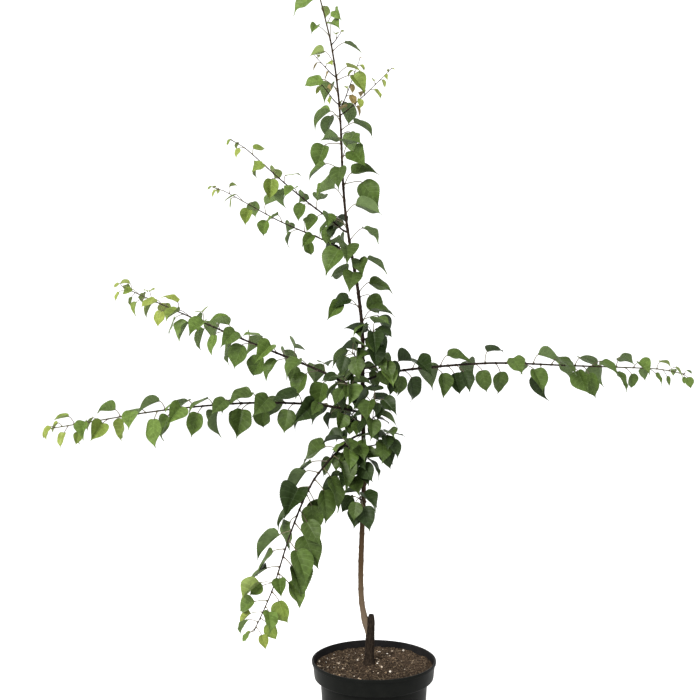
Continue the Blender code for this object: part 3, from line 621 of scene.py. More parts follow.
class Leaf:
    """A hanging leaf: where its stalk starts, where its blade starts, and how the blade lies."""

    def __init__(self, stem, mark, base, along, face, length, fold, curl):
        self.root, self.stem_along, self.stem_radius = stem.at(mark)
        self.mark = mark
        self.share = mark / stem.length
        self.foot = self.stem_radius * STALK_FOOT
        self.base = base
        self.along = along
        self.face = face
        self.length = length
        self.fold = fold
        self.curl = curl

    def frame(self):
        across = self.face.cross(self.along)
        turn = Matrix((self.along, across, self.face)).transposed().to_4x4()
        return Matrix.Translation(self.base) @ turn

    def corner(self, share_along, share_across):
        """A point of the blade's middle surface, in the blade's own frame."""
        x = share_along * self.length
        y = share_across * self.length
        return Vector((x, y, abs(y) * self.fold - self.curl * self.length * share_along ** 2))

    def tree(self, grow):
        """A search tree of the plain leaf, grown by a margin, without the foot of its stalk."""
        frame = self.frame()
        radius = STALK_LEAST_RADIUS + STALK_SHARE * self.length + grow
        stalk = (self.base - self.root).normalized()
        turned = (stalk + self.along).normalized()
        side = self.face.cross(self.along)
        side = (side - turned * side.dot(turned)).normalized()
        low = side.cross(turned)
        root_side = (side - stalk * side.dot(stalk)).normalized()
        root_low = root_side.cross(stalk)
        root = self.root.lerp(self.base, STALK_NEAR_STEM)
        foot = self.foot + grow
        corners = [root + root_side * foot, root + root_low * foot, root - root_side * foot]
        corners += [self.base + side * radius, self.base + low * radius, self.base - side * radius]
        middle = self.corner(LEAF_MIDDLE, 0.0)
        for share_along, share_across in LEAF_OUTLINE:
            p = self.corner(share_along, share_across)
            corners.append(frame @ (p + (p - middle).normalized() * grow))
        half = max(self.length * LEAF_THICKNESS, LEAF_LEAST_THICKNESS) / 2 + grow
        corners += [frame @ (middle + UP * half), frame @ (middle + DOWN * half)]
        top = len(corners) - 2
        under = top + 1
        faces = [(0, 1, 2), (3, 5, top), (5, 4, under), (4, 3, under)]
        for k in range(3):
            n = (k + 1) % 3
            faces.append((k, k + 3, n + 3, n))
        rim = [5] + list(range(6, 6 + len(LEAF_OUTLINE))) + [3]
        for k, n in zip(rim, rim[1:]):
            faces.append((top, k, n))
            faces.append((under, n, k))
        return BVHTree.FromPolygons(corners, faces)


def pose_leaf(stem, s, bearing, length, reach, lean, rng):
    """A leaf on a stem: its stalk leaves at a slant, and the blade hangs and turns to the light."""
    root, along, radius = stem.at(s)
    level = along.cross(UP)
    if level.length < UPRIGHT:
        level = FRONT - along * along.dot(FRONT)
    level.normalize()
    over = level.cross(along).normalized()
    out = level * math.cos(bearing) + over * math.sin(bearing)
    stalk = (along * math.cos(lean) + out * math.sin(lean) + UP * STALK_LIFT).normalized()
    base = root + stalk * (radius + reach)
    hang = HANG_LEAST + HANG_BELOW * (0.5 - 0.5 * out.z) + rng.uniform(-HANG_CHANCE, HANG_CHANCE)
    blade = Vector((stalk.x, stalk.y, stalk.z * STALK_RISE_KEPT)) * (1 - hang) + DOWN * hang
    blade += Vector((rng.uniform(-BLADE_SWAY, BLADE_SWAY), rng.uniform(-BLADE_SWAY, BLADE_SWAY), 0.0))
    blade.normalize()
    while blade.dot(stalk) < STALK_BEND:
        blade = (blade + stalk * STALK_BEND_STEP).normalized()
    above = max(0.0, out.z)
    face = out * FACE_OUT + UP * (FACE_UP + FACE_UP_ABOVE * above)
    face += LIGHT * FACE_LIGHT * (1 - FACE_LESS_ABOVE * above)
    face = (face - blade * face.dot(blade)).normalized()
    face = Matrix.Rotation(math.radians(rng.uniform(-FACE_ROLL, FACE_ROLL)), 3, blade) @ face
    fold = rng.uniform(*LEAF_FOLD)
    curl = rng.uniform(*LEAF_CURL)
    return Leaf(stem, s, base, blade, face.normalized(), length, fold, curl)


class Crown:
    """Keeps every limb and leaf that is placed, and tests new ones against them."""

    def __init__(self):
        self.limbs = []
        self.leaves = []

    def add_limb(self, limb):
        self.limbs.append(limb_tree(limb))

    def limb_is_free(self, limb):
        tree = limb_tree(limb)
        return not any(tree.overlap(other) for other in self.limbs)

    def leaf_is_free(self, stem, leaf):
        """True if a leaf stays in its mass's space and clears the pot and all that is placed."""
        frame = leaf.frame()
        tip = frame @ leaf.corner(1.0, 0.0)
        if stem.distance(tip) > SHOOT_REACH or tip.z < POT_HEIGHT + LEAF_ABOVE_POT:
            return False
        probe = leaf.tree(LEAF_CLEAR)
        if any(probe.overlap(tree) for tree in self.limbs):
            return False
        middle = frame @ leaf.corner(0.5, 0.0)
        near = [tree for m, tree in self.leaves if (m - middle).length < LEAF_NEAR]
        return not any(probe.overlap(tree) for tree in near)

    def try_leaf(self, stem, s, bearing, length, stalk, lean, rng):
        """Tries a leaf at a place a few times, each time turned a little, and may leave it out."""
        for attempt in range(LEAF_TRIES):
            swing = math.radians(TRY_TURN[0] + TRY_TURN[1] * attempt)
            turned = bearing + rng.uniform(-swing, swing)
            leaf = pose_leaf(stem, s, turned, length, stalk, lean * rng.uniform(*TRY_LEAN), rng)
            if self.leaf_is_free(stem, leaf):
                self.leaves.append((leaf.frame() @ leaf.corner(0.5, 0.0), leaf.tree(0.0)))
                return [leaf]
        return []


def shoot_leaves(crown, stem, rule, rng):
    """Leaves one by one along a shoot, each further round it, smaller towards its tip."""
    leaves = []
    full = rule["leaf"] * MM
    s = rule["first"] * MM
    turn, step = rule.get("ranks", (rng.uniform(0, 360), LEAF_TURN))
    while s < stem.length - SHOOT_END:
        left = (stem.length - s) / stem.length
        size = full * min(1.0, LEAF_AT_TIP[0] + LEAF_AT_TIP[1] * left) * rng.uniform(*LEAF_SIZES)
        stalk = rule["stalk"] * MM * (STALK_PLAIN + (1 - STALK_PLAIN) * size / full)
        stalk *= rng.uniform(*STALK_SIZES)
        lean = math.radians(rng.uniform(*SHOOT_LEAN))
        leaves += crown.try_leaf(stem, s, math.radians(turn), size, stalk, lean, rng)
        turn += step
        spacing = rule["spacing"] * MM * rng.uniform(*SPACINGS)
        s += spacing * min(1.0, SPACING_AT_TIP[0] + SPACING_AT_TIP[1] * left)
    for k in range(TIP_TUFT):
        size = full * rng.uniform(*TUFT_SIZES)
        s = stem.length - TUFT_FIRST - TUFT_STEP * k
        lean = math.radians(rng.uniform(*TUFT_LEAN))
        stalk = rule["stalk"] * MM * TUFT_STALK
        leaves += crown.try_leaf(stem, s, math.radians(turn), size, stalk, lean, rng)
        turn += step
    return leaves


def spur_leaves(crown, stem, count, length, stalk, lean, rng):
    """Leaves crowded along a short spur and spread fanwise at its end."""
    leaves = []
    turn = rng.uniform(0, 360)
    for k in range(count):
        s = stem.length * (SPUR_BARE + SPUR_LEAFY * (k + 1) / count)
        size = length * rng.uniform(*SPUR_LEAF_SIZES)
        slant = math.radians(rng.uniform(*lean))
        reach = stalk * rng.uniform(*SPUR_STALK_SIZES)
        leaves += crown.try_leaf(stem, s, math.radians(turn), size, reach, slant, rng)
        turn += LEAF_TURN
    return leaves


def spur_stem(crown, trunk, height, bearing, reach, thick):
    """A spur's stem, turned aside in steps until no other limb is in its way."""
    for _ in range(SPUR_TRIES):
        foot = trunk.at(trunk.station(height))[2] + thick
        line = [(foot + reach * SPUR_KNEE[0], reach * SPUR_KNEE[1]), (foot + reach, reach * SPUR_SLOPE)]
        stem = side_limb(trunk, height, bearing, line, thick, SPUR_THIN)
        free = stem.stretch(thick, stem.length)
        if crown.limb_is_free(free):
            break
        bearing += SPUR_STEP_ASIDE
    crown.add_limb(free)
    return stem


def plan_boughs(trunk):
    """Each bough whole and as its bare limb, and the leafy shoot that it goes on in."""
    boughs = []
    limbs = []
    shoots = []
    for bough in BOUGHS:
        line = [(reach * MM, rise * MM) for reach, rise in bough["line"]]
        whole = side_limb(trunk, bough["height"] * MM, bough["bearing"], line,
                          bough["thick"] * MM, bough["thin"] * MM)
        bare = bough["bare"] * MM
        rule = dict(bough, first=BOUGH_FIRST_LEAF)
        boughs.append((bough["name"], whole, bare + GAP))
        limbs.append(whole.stretch(0.0, bare))
        shoot = whole.stretch(bare + GAP, whole.length)
        shoots.append(("shoot_" + bough["name"], shoot, rule, bough["seed"]))
    return boughs, limbs, shoots


def plan_top_shoots(trunk):
    """The young side shoots near the top."""
    shoots = []
    for name, height, bearing, reach, rise, seed in TOP_SHOOTS:
        middle = (reach * MM * TOP_SHOOT_MIDDLE[0], rise * MM * TOP_SHOOT_MIDDLE[1])
        line = [middle, (reach * MM, rise * MM)]
        stem = side_limb(trunk, height * MM, bearing, line, TOP_SHOOT_THICK, TOP_SHOOT_THIN)
        shoots.append((name, stem, TOP_SHOOT_RULE, seed))
    return shoots


def leader_spur(crown, trunk, k, seed):
    """A very short spur on the leader, with its own name, stem and rule for its leaves."""
    rng = random.Random(seed)
    share = k / LEADER_SPUR_COUNT
    bearing = 180.0 * k + rng.uniform(-LEADER_SPUR_SWING, LEADER_SPUR_SWING)
    height = LEADER_SPUR_FIRST + k * LEADER_SPUR_SPACING
    stem = spur_stem(crown, trunk, height, bearing, LEADER_SPUR_REACH, LEADER_SPUR_THICK)
    foot, more, less = LEADER_LEAF
    leaf = foot + more * math.sin(math.pi * share) - less * share ** 3
    count = 2 if rng.random() < LEADER_SPUR_TWINS else 1
    return "leader_spray_%02d" % (k + 1), stem, count, leaf, LEADER_STALK, LEADER_LEAN, rng


def plan_spurs(crown, trunk):
    """The stems of the spurs round the trunk and up the leader, with the rules of their leaves."""
    spurs = []
    for k, (height, bearing, reach, seed) in enumerate(SPURS):
        stem = spur_stem(crown, trunk, height * MM, bearing, reach * MM, SPUR_THICK)
        count = SPUR_LEAST_LEAVES + int(stem.length / SPUR_LEAF_SPACING)
        rng = random.Random(seed)
        spurs.append(("spur_%02d" % (k + 1), stem, count, SPUR_LEAF, SPUR_STALK, SPUR_LEAN, rng))
    for k, seed in enumerate(LEADER_SPUR_SEEDS):
        spurs.append(leader_spur(crown, trunk, k, seed))
    return spurs


def plan_tree():
    """The leader, the whole boughs, and each mass with its stem and its leaves."""
    leader = leader_limb()
    whole = leader.station(LEADER_WHOLE_TO)
    trunk = leader.stretch(0.0, whole)
    tip = leader.stretch(whole + GAP, leader.length)
    boughs, limbs, shoots = plan_boughs(trunk)
    shoots += plan_top_shoots(trunk)
    shoots.append(("leader_tip", tip, LEADER_TIP_RULE, LEADER_TIP_SEED))

    crown = Crown()
    crown.add_limb(trunk)
    for limb in limbs:
        crown.add_limb(limb)
    for _, stem, _, _ in shoots:
        crown.add_limb(stem)
    spurs = plan_spurs(crown, trunk)

    masses = []
    for name, stem, rule, seed in shoots:
        masses.append((name, stem, shoot_leaves(crown, stem, rule, random.Random(seed))))
    for name, stem, *rule in spurs:
        masses.append((name, stem, spur_leaves(crown, stem, *rule)))
    add_inner_leaves(crown, trunk, limbs, masses)
    return leader, boughs, masses


def add_inner_leaves(crown, trunk, limbs, masses):
    """Smaller leaves in the gaps that the others leave on trunk, spurs, boughs' feet and shoots."""
    rng = random.Random(INNER_SEED)
    low, high = [trunk.station(height) for height in INNER_TRUNK]
    places = [("spur_inner", trunk.stretch(low, high), INNER_ON_TRUNK, INNER_TRUNK_SWING)]
    spurs = [stem for name, stem, leaves in masses if name.startswith("spur")]
    places += [("spur_inner", stem, INNER_ON_SPUR, math.pi) for stem in spurs]
    places += [("bough_inner", limb, INNER_ON_BOUGH, math.pi) for limb in limbs]
    for name, stem, count, swing in places:
        leaves = []
        for _ in range(count):
            s = stem.length * rng.uniform(SPUR_BARE, 1.0)
            size = SPUR_LEAF * rng.uniform(*INNER_SIZES)
            slant = math.radians(rng.uniform(*SPUR_LEAN))
            leaves += crown.try_leaf(stem, s, rng.uniform(-swing, swing), size, SPUR_STALK, slant, rng)
        masses.append((name, stem, leaves))
    rules = {"shoot_" + bough["name"]: bough for bough in BOUGHS}
    for name, stem, leaves in masses:
        for k in range(INNER_ON_SHOOT.get(name, 0)):
            share = (k + rng.random()) / INNER_ON_SHOOT[name]
            size = rules[name]["leaf"] * MM * min(1.0, LEAF_AT_TIP[0] + LEAF_AT_TIP[1] * (1 - share))
            size *= rng.uniform(*INNER_SHOOT_SIZES)
            slant = math.radians(rng.uniform(*SHOOT_LEAN))
            stalk = rules[name]["stalk"] * MM * rng.uniform(*STALK_SIZES)
            turn = rng.uniform(0, 2 * math.pi)
            leaves += crown.try_leaf(stem, stem.length * share, turn, size, stalk, slant, rng)


def add_object(name, data):
    obj = bpy.data.objects.new(name, data)
    bpy.context.scene.collection.objects.link(obj)
    return obj


class Heap:
    """Corners and faces of many small shapes that are joined into one piece."""

    def __init__(self):
        self.corners = []
        self.faces = []
        self.slots = []
        self.count = 0

    def add(self, corners, faces, slots=None):
        corners = np.asarray(corners, dtype=float).reshape(-1, 3)
        start = self.count
        self.corners.append(corners)
        self.faces += [tuple(start + i for i in face) for face in faces]
        self.slots += slots if slots is not None else [0] * len(faces)
        self.count += len(corners)

    def piece(self, name, mats, sharp=SHARP):
        """The heap as one object, shaded smooth up to an angle in degrees."""
        mesh = bpy.data.meshes.new(name)
        mesh.from_pydata(np.concatenate(self.corners).tolist(), [], self.faces)
        for mat in mats:
            mesh.materials.append(mat)
        mesh.polygons.foreach_set("material_index", self.slots)
        mesh.shade_smooth()
        mesh.set_sharp_from_angle(angle=math.radians(sharp))
        mesh.update()
        return add_object(name, mesh)


def dress(obj, nodes=()):
    """Lets a piece ride on the plant, and hides the solids that it stands for."""
    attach(obj, "root")
    if nodes:
        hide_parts(*nodes)


def nodes_of(slot):
    return [part["node"] for part in frame["record"]["subparts"] if part["material_slot"] == slot]


def new_material(name, roughness, specular):
    mat = bpy.data.materials.new(name)
    mat.use_nodes = True
    shader = mat.node_tree.nodes["Principled BSDF"]
    shader.inputs["Roughness"].default_value = roughness
    shader.inputs["Specular IOR Level"].default_value = specular
    return mat, mat.node_tree, shader


def feed(tree, node, inputs):
    """Sets a node's inputs to values, or links them to other nodes."""
    for name, value in inputs.items():
        if isinstance(value, bpy.types.NodeSocket):
            tree.links.new(value, node.inputs[name])
        else:
            node.inputs[name].default_value = value
    return node


def add_node(tree, kind, inputs=None, **settings):
    node = tree.nodes.new("ShaderNode" + kind)
    for name, value in settings.items():
        setattr(node, name, value)
    return feed(tree, node, inputs or {})


def own_place(tree, axis=None):
    """A place in the object's own coordinates, or how far along an axis it is."""
    place = add_node(tree, "TexCoord").outputs["Object"]
    return add_node(tree, "SeparateXYZ", {"Vector": place}).outputs[axis] if axis else place


def grain(tree, scale, detail, stretch=(1.0, 1.0, 1.0)):
    """A noise over the object's own coordinates, in features a metre."""
    place = add_node(tree, "Mapping", {"Vector": own_place(tree), "Scale": stretch}).outputs["Vector"]
    return add_node(tree, "TexNoise", {"Vector": place, "Scale": scale, "Detail": detail}).outputs[0]


def spread(tree, value, low, high, least=0.0, most=1.0):
    """A value brought from one range to another, and kept inside it."""
    ranges = {"From Min": low, "From Max": high, "To Min": least, "To Max": most}
    return add_node(tree, "MapRange", {"Value": value, **ranges}).outputs["Result"]


def height_of(tree, low, high):
    """How far up a place is between two heights, from 0 to 1."""
    return spread(tree, own_place(tree, "Z"), low, high)


def reach_of(tree, low, high):
    """How far out from the stem a place is between two distances, from 0 to 1."""
    flat = add_node(tree, "VectorMath", {0: own_place(tree), 1: (1.0, 1.0, 0.0)}, operation="MULTIPLY")
    length = add_node(tree, "VectorMath", {0: flat.outputs[0]}, operation="LENGTH")
    return spread(tree, length.outputs["Value"], low, high)


def ramp(tree, value, stops):
    """Colours along a value, given as places from 0 to 1 and colours."""
    node = add_node(tree, "ValToRGB", {"Fac": value})
    elements = node.color_ramp.elements
    for place, _ in stops[1:-1]:
        elements.new(place)
    for element, (place, colour) in zip(elements, stops):
        element.position = place
        element.color = (*colour, 1.0)
    return node.outputs["Color"]


def mix(tree, share, a, b):
    """A blend of two colours by a share, each of them linked or plain."""
    return add_node(tree, "Mix", {0: share, 6: a, 7: b}, data_type="RGBA").outputs[2]


def bump(tree, height, strength, distance):
    inputs = {"Strength": strength, "Distance": distance, "Height": height}
    return add_node(tree, "Bump", inputs).outputs["Normal"]


def painted_shade_front_light_back(tree, colour):
    """The compost's colour with painted shade in front and painted light at the back: darker in front and
    paler at the back.
    """
    shade = spread(tree, own_place(tree, "Y"), -POT_RIM_RADIUS, POT_RIM_RADIUS, *SOIL_SHADES)
    return add_node(tree, "VectorMath", {0: colour, "Scale": shade}, operation="SCALE").outputs[0]


def patches(tree, scale, detail, span, dark, light):
    """Two colours dealt out by a noise, that blend over a span of it."""
    return ramp(tree, grain(tree, scale, detail), tuple(zip(span, (dark, light))))


def mottled(name, dark, light, scale, roughness, relief, specular, shade=None):
    """A material that wanders between two colours, with a fine relief."""
    mat, tree, shader = new_material(name, roughness, specular)
    colour = patches(tree, scale, FINISH_DETAIL, FINISH_SPAN, dark, light)
    fine = grain(tree, scale * RELIEF_FINER, RELIEF_DETAIL)
    feed(tree, shader, {
        "Base Color": shade(tree, colour) if shade else colour,
        "Normal": bump(tree, fine, RELIEF_STRENGTH, relief),
    })
    return mat


def finish(name, shade=None):
    return [mottled(name, *FINISHES[name], shade)]


def leaf_material(name, dark, light, rib, roughness, specular):
    """A leaf's face: two close greens, and the net of its finest veins."""
    mat, tree, shader = new_material(name, roughness, specular)
    greens = patches(tree, *LEAF_PATCHES, dark, light)
    cells = {"Vector": own_place(tree), "Scale": NET_SCALE}
    edge = add_node(tree, "TexVoronoi", cells, feature="DISTANCE_TO_EDGE").outputs["Distance"]
    feed(tree, shader, {
        "Base Color": mix(tree, spread(tree, edge, 0.0, NET_WIDTH, NET_SHARE, 0.0), greens, (*rib, 1.0)),
        "Normal": bump(tree, spread(tree, edge, 0.0, NET_SLOPE), *NET_RELIEF),
    })
    return mat


# How each bark looks: what its colour changes with and over which span, its colours, its long streaks
# and how much they show, and the scale and colour of its pores
BARKS = {
    "leader_bark": dict(
        measure=height_of, span=(0.26, 1.75), roughness=0.55,
        # the pale foot is partly the scion's paler bark and partly painted light for its side lit from the
        # left
        colours=((0.0, (0.160, 0.128, 0.096)), (0.05, (0.120, 0.088, 0.058)), (0.10, (0.070, 0.044, 0.022)),
                 (0.18, (0.046, 0.029, 0.016)), (0.36, (0.012, 0.007, 0.005)), (0.66, (0.012, 0.007, 0.004)),
                 (0.82, (0.020, 0.014, 0.007)), (1.0, (0.060, 0.056, 0.026))),
        streaks=((0.35, (0.006, 0.004, 0.003)), (0.70, (0.050, 0.032, 0.020))), streak_share=0.22,
        pore_scale=420.0, pore=(0.090, 0.064, 0.044)),
    "bough_bark": dict(
        measure=reach_of, span=(0.03, 0.64), roughness=0.50,
        colours=((0.0, (0.010, 0.007, 0.005)), (0.40, (0.014, 0.009, 0.007)), (0.75, (0.030, 0.026, 0.014)),
                 (1.0, (0.070, 0.072, 0.034))),
        streaks=((0.4, (0.006, 0.004, 0.004)), (0.7, (0.050, 0.036, 0.026))), streak_share=0.22,
        pore_scale=800.0, pore=(0.100, 0.074, 0.054)),
    "rootstock_bark": dict(
        measure=height_of, span=(0.19, 0.31), roughness=0.82,
        colours=((0.0, (0.024, 0.017, 0.012)), (0.5, (0.018, 0.013, 0.010)), (1.0, (0.009, 0.007, 0.006))),
        streaks=((0.38, (0.006, 0.005, 0.004)), (0.66, (0.055, 0.042, 0.031))), streak_share=0.40,
        pore_scale=260.0, pore=(0.070, 0.056, 0.044)),
}
BARK_SPECULAR = 0.08
BARK_STREAKS = (90.0, 5.0, (5.0, 5.0, 1.0))  # scale, detail and how they are drawn out
BARK_GRAIN = (1.0, 1.0, 1.6)
BARK_RELIEF = (0.45, 0.3 * MM)
PORE_SHAPE = (1.0, 1.0, 3.2)
PORE_SHARES = (0.66, 0.74, 0.0, 0.8)  # where in the noise they begin and are full, and how much they show


def bark_material(name, measure, span, roughness, colours, streaks, streak_share, pore_scale, pore):
    """Young bark: a colour that changes along it, long streaks, and pale pores lying across."""
    mat, tree, shader = new_material(name, roughness, BARK_SPECULAR)
    along = ramp(tree, measure(tree, *span), colours)
    skin = mix(tree, streak_share, along, ramp(tree, grain(tree, *BARK_STREAKS), streaks))
    pores = spread(tree, grain(tree, pore_scale, 1.0, PORE_SHAPE), *PORE_SHARES)
    feed(tree, shader, {
        "Base Color": mix(tree, pores, skin, (*pore, 1.0)),
        "Normal": bump(tree, grain(tree, pore_scale, 4.0, BARK_GRAIN), *BARK_RELIEF),
    })
    return mat


def bark(name):
    return [bark_material(name, **BARKS[name])]


def pot_material(name, dark, light):
    """Moulded plastic with a satin shine that wanders a little, and a trace of dust."""
    mat, tree, shader = new_material(name, *PLASTIC_SHINE)
    feed(tree, shader, {
        "Base Color": patches(tree, *PLASTIC_DUST, dark, light),
        "Roughness": spread(tree, grain(tree, *PLASTIC_WANDER), *PLASTIC_ROUGHNESS),
        "Normal": bump(tree, grain(tree, *PLASTIC_GRAIN), *PLASTIC_RELIEF),
    })
    return mat


def tube(rows, sides, stand=1.0):
    """A closed round skin along centre points with radii; stand scales the radius at each corner."""
    points = rows[:, :3]
    along = np.gradient(points, axis=0)
    along /= np.linalg.norm(along, axis=1)[:, None]
    across = np.empty_like(points)
    turned = np.cross(along[0], (0.0, 1.0, 0.1))
    across[0] = turned / np.linalg.norm(turned)
    for k in range(1, len(points)):
        turned = across[k - 1] - along[k] * across[k - 1].dot(along[k])
        across[k] = turned / np.linalg.norm(turned)
    other = np.cross(along, across)
    turns = (np.arange(sides) * 2 * math.pi / sides)[:, None]
    out = across[:, None] * np.cos(turns) + other[:, None] * np.sin(turns)
    radius = rows[:, 3:] * (np.ones((1, sides)) * stand)
    corners = points[:, None] + out * radius[:, :, None]
    last = (len(points) - 1) * sides
    ends = [tuple(range(sides - 1, -1, -1)), tuple(range(last, last + sides))]
    return corners.reshape(-1, 3), quads(len(points), sides) + ends


def bark_relief(marks, sides, streak, pit, seed):
    """How far each corner of a limb's skin stands out: long streaks, and small pits and rings."""
    stand = np.ones((len(marks), sides))
    for i in range(sides):
        place = Vector((*polar(1.0, 2 * math.pi * i / sides), 0.0))
        for k, mark in enumerate(marks):
            streaks = place * STREAK_TURNS + Vector((seed, 0, mark * STREAK_LENGTHS))
            stand[k, i] += streak * noise.noise(streaks)
            stand[k, i] += pit * noise.noise(place * PIT_TURNS + Vector((0, seed, mark * PIT_LENGTHS)))
    return stand


def swell(rows, marks, places, rise, length):
    """Thickens a limb round some places along it."""
    for place in places:
        rows[:, 3] *= 1 + rise * np.exp(-((marks - place) / length) ** 2)


def add_limb_skin(heap, limb, sides, leaf_marks, relief, k):
    """A side limb's bark, wider at its foot, with a knot where each leaf stands."""
    rooted = limb.rooted()
    rows, marks = rooted.rows(SKIN_STEP)
    rows[:, 3] *= 1 + FOOT_FLARE * np.exp(-marks / FOOT_FLARE_LENGTH)
    swell(rows, marks, [mark + rooted.length - limb.length for mark in leaf_marks], KNOT, KNOT_LENGTH)
    streak, pit, seed = relief
    heap.add(*tube(rows, sides, bark_relief(marks, sides, streak, pit, seed + k)))


def refine_leaves(leader, masses):
    """Sizes the finer blades, and gives each leaf of a very short spur its own place on the leader."""
    for name, stem, leaves in masses:
        size = [size for start, size in BLADE_SIZES if name.startswith(start)][0]
        if name.startswith("leader_spray"):
            size -= LEADER_LEAF_SHRINK * (int(name[-2:]) / LEADER_SPUR_COUNT) ** 2
            for k, leaf in enumerate(leaves):
                height = stem.foot.z + NODE_SPACING * (k - 0.5 * (len(leaves) - 1))
                leaf.mark = leader.station(height)
                leaf.root, leaf.stem_along, leaf.stem_radius = leader.at(leaf.mark)
        for leaf in leaves:
            leaf.length *= size


def leader_knots(leader, masses):
    """How far along the leader a leaf, a spur or a shoot stands on it."""
    knots = []
    for name, stem, leaves in masses:
        if name.startswith("leader_spray"):
            knots += [leaf.mark for leaf in leaves]
        elif name == "leader_tip":
            knots += [leader.station(LEADER_WHOLE_TO) + leaf.mark for leaf in leaves]
        elif stem.foot is not None:
            knots.append(leader.station(stem.foot.z))
    return knots


def make_leader(leader, masses):
    """The scion and leader from the graft to the tip, and the rootstock with its pruned stub."""
    rows, marks = leader.rows(SKIN_STEP)
    scars = [leader.station(SCAR_FIRST + SCAR_SPACING * k) for k in range(SCARS)]
    swell(rows, marks, [GRAFT_PLACE], GRAFT_SWELL, GRAFT_LENGTH)
    swell(rows, marks, leader_knots(leader, masses), LEADER_KNOT, LEADER_KNOT_LENGTH)
    swell(rows, marks, scars, SCAR, LEADER_KNOT_LENGTH)
    heap = Heap()
    heap.add(*tube(rows, LEADER_SIDES, bark_relief(marks, LEADER_SIDES, *LEADER_RELIEF)))
    dress(heap.piece("leader_bark", bark("leader_bark")), nodes_of("bark"))

    points = [Vector((x, 0.0, z)) * MM for x, z, _ in ROOTSTOCK]
    stub = Limb(points, [d * MM / 2 for _, _, d in ROOTSTOCK])
    rows, marks = stub.rows(ROOTSTOCK_STEP)
    heap = Heap()
    heap.add(*tube(rows, ROOTSTOCK_SIDES, bark_relief(marks, ROOTSTOCK_SIDES, *ROOTSTOCK_RELIEF)))
    dress(heap.piece("rootstock_bark", bark("rootstock_bark")))


def make_limbs(boughs, masses):
    """The boughs from the leader to their tips, and the stems of the spurs and top shoots."""
    wood = bark("bough_bark")
    heap = Heap()
    for k, (name, whole, bare) in enumerate(boughs):
        leaves = [mass[2] for mass in masses if mass[0] == "shoot_" + name][0]
        add_limb_skin(heap, whole, BOUGH_SIDES, [bare + leaf.mark for leaf in leaves], BOUGH_RELIEF, k)
    dress(heap.piece("bough_bark", wood), nodes_of("young_bark"))
    heap = Heap()
    for k, (name, stem, leaves) in enumerate(masses):
        if stem.foot is not None and name.startswith(("spur_", "top_shoot")) and not name.endswith("inner"):
            add_limb_skin(heap, stem, SPUR_SIDES, [leaf.mark for leaf in leaves], SPUR_RELIEF, k)
    dress(heap.piece("spur_bark", wood))


def blade_rows():
    """Shares of the rim where rows cross the blade, the rows at which a side vein starts, and their step."""
    step = 1.0 / (VEINS + VEIN_LAST)
    shares = [0.0, VEIN_PLACE * step / 2]
    veins = []
    for k in range(VEINS):
        centre = step * (k + VEIN_PLACE)
        veins.append(len(shares))
        shares += [centre - VEIN_HALF, centre + VEIN_HALF]
        shares += [centre + step * part for part in BLADE_ROWS]
    return np.array([share for share in shares if share < LAST_ROW] + [1.0]), veins, step


def blade_grid():
    """The flat blade in shares of its length: rows, sideways shares, places and raised parts."""
    shares, veins, step = blade_rows()
    fine = smooth([Vector((x, y, 0.0)) for x, y in BLADE_RIM], RIM_STEP)
    flat = np.array([(p.x, p.y) for p in fine])
    marks = np.concatenate([[0.0], np.cumsum(np.linalg.norm(np.diff(flat, axis=0), axis=1))])
    rim_x, rim_y = [np.interp(shares * marks[-1], marks, flat[:, axis]) for axis in (0, 1)]
    strip = MIDRIB_HALF * (1 - MIDRIB_TAPER * shares) / rim_y
    side = np.stack([strip] + [np.full(len(shares), column) for column in BLADE_COLUMNS], axis=1)
    middle = BLADE_END * shares ** VEIN_POWER
    x = middle[:, None] + (rim_x - middle)[:, None] * side ** VEIN_BEND
    y = rim_y[:, None] * side
    turn = 2 * math.pi * (shares / step - VEIN_PLACE)
    left = (1 - shares)[:, None]
    raised = VEIN_DEPTH * (0.5 - 0.5 * np.cos(turn))[:, None] * left
    raised = raised * np.sin(math.pi * np.clip(side, *VEIN_ENDS))
    raised[:, 0] -= MIDRIB_DEPTH * left[:, 0]
    halves = [np.concatenate([part[:, ::-1], part], axis=1) for part in (side, x, y, raised)]
    halves[2][:, :side.shape[1]] *= -1
    return shares[:, None], *halves, veins


def blade_faces(rows, wide, veins):
    """Faces of a closed blade, with 0 for its upper side, 1 for its veins and 2 for its underside."""
    under = wide * rows
    notches = 2 * (rows - 1)

    def low(i):
        return i + (under if i < under else notches)

    faces = []
    slots = []
    edge = []
    for k in range(rows - 1):
        first = k * wide
        last = first + wide - 1
        notch = 2 * under + 2 * k
        for a in range(first, last):
            loop = [a, a + wide, a + wide + 1, a + 1]
            if a == first:
                loop.insert(1, notch)
            elif a == last - 1:
                loop.insert(3, notch + 1)
            faces += [tuple(loop), tuple(low(i) for i in reversed(loop))]
            vein = a == first + wide // 2 - 1 or k in veins
            slots += [1, 1] if vein else [0, 2]
        edge += [(first, notch), (notch, first + wide), (last + wide, notch + 1), (notch + 1, last)]
    for j in range(wide - 1):
        edge.append((j + 1, j))
        edge.append((under - wide + j, under - wide + j + 1))
    for a, b in edge:
        faces.append((a, low(a), low(b), b))
        slots.append(2)
    return faces, slots


*GRID, VEIN_ROWS = blade_grid()
BLADE_FACES, BLADE_SLOTS = blade_faces(*GRID[1].shape, VEIN_ROWS)


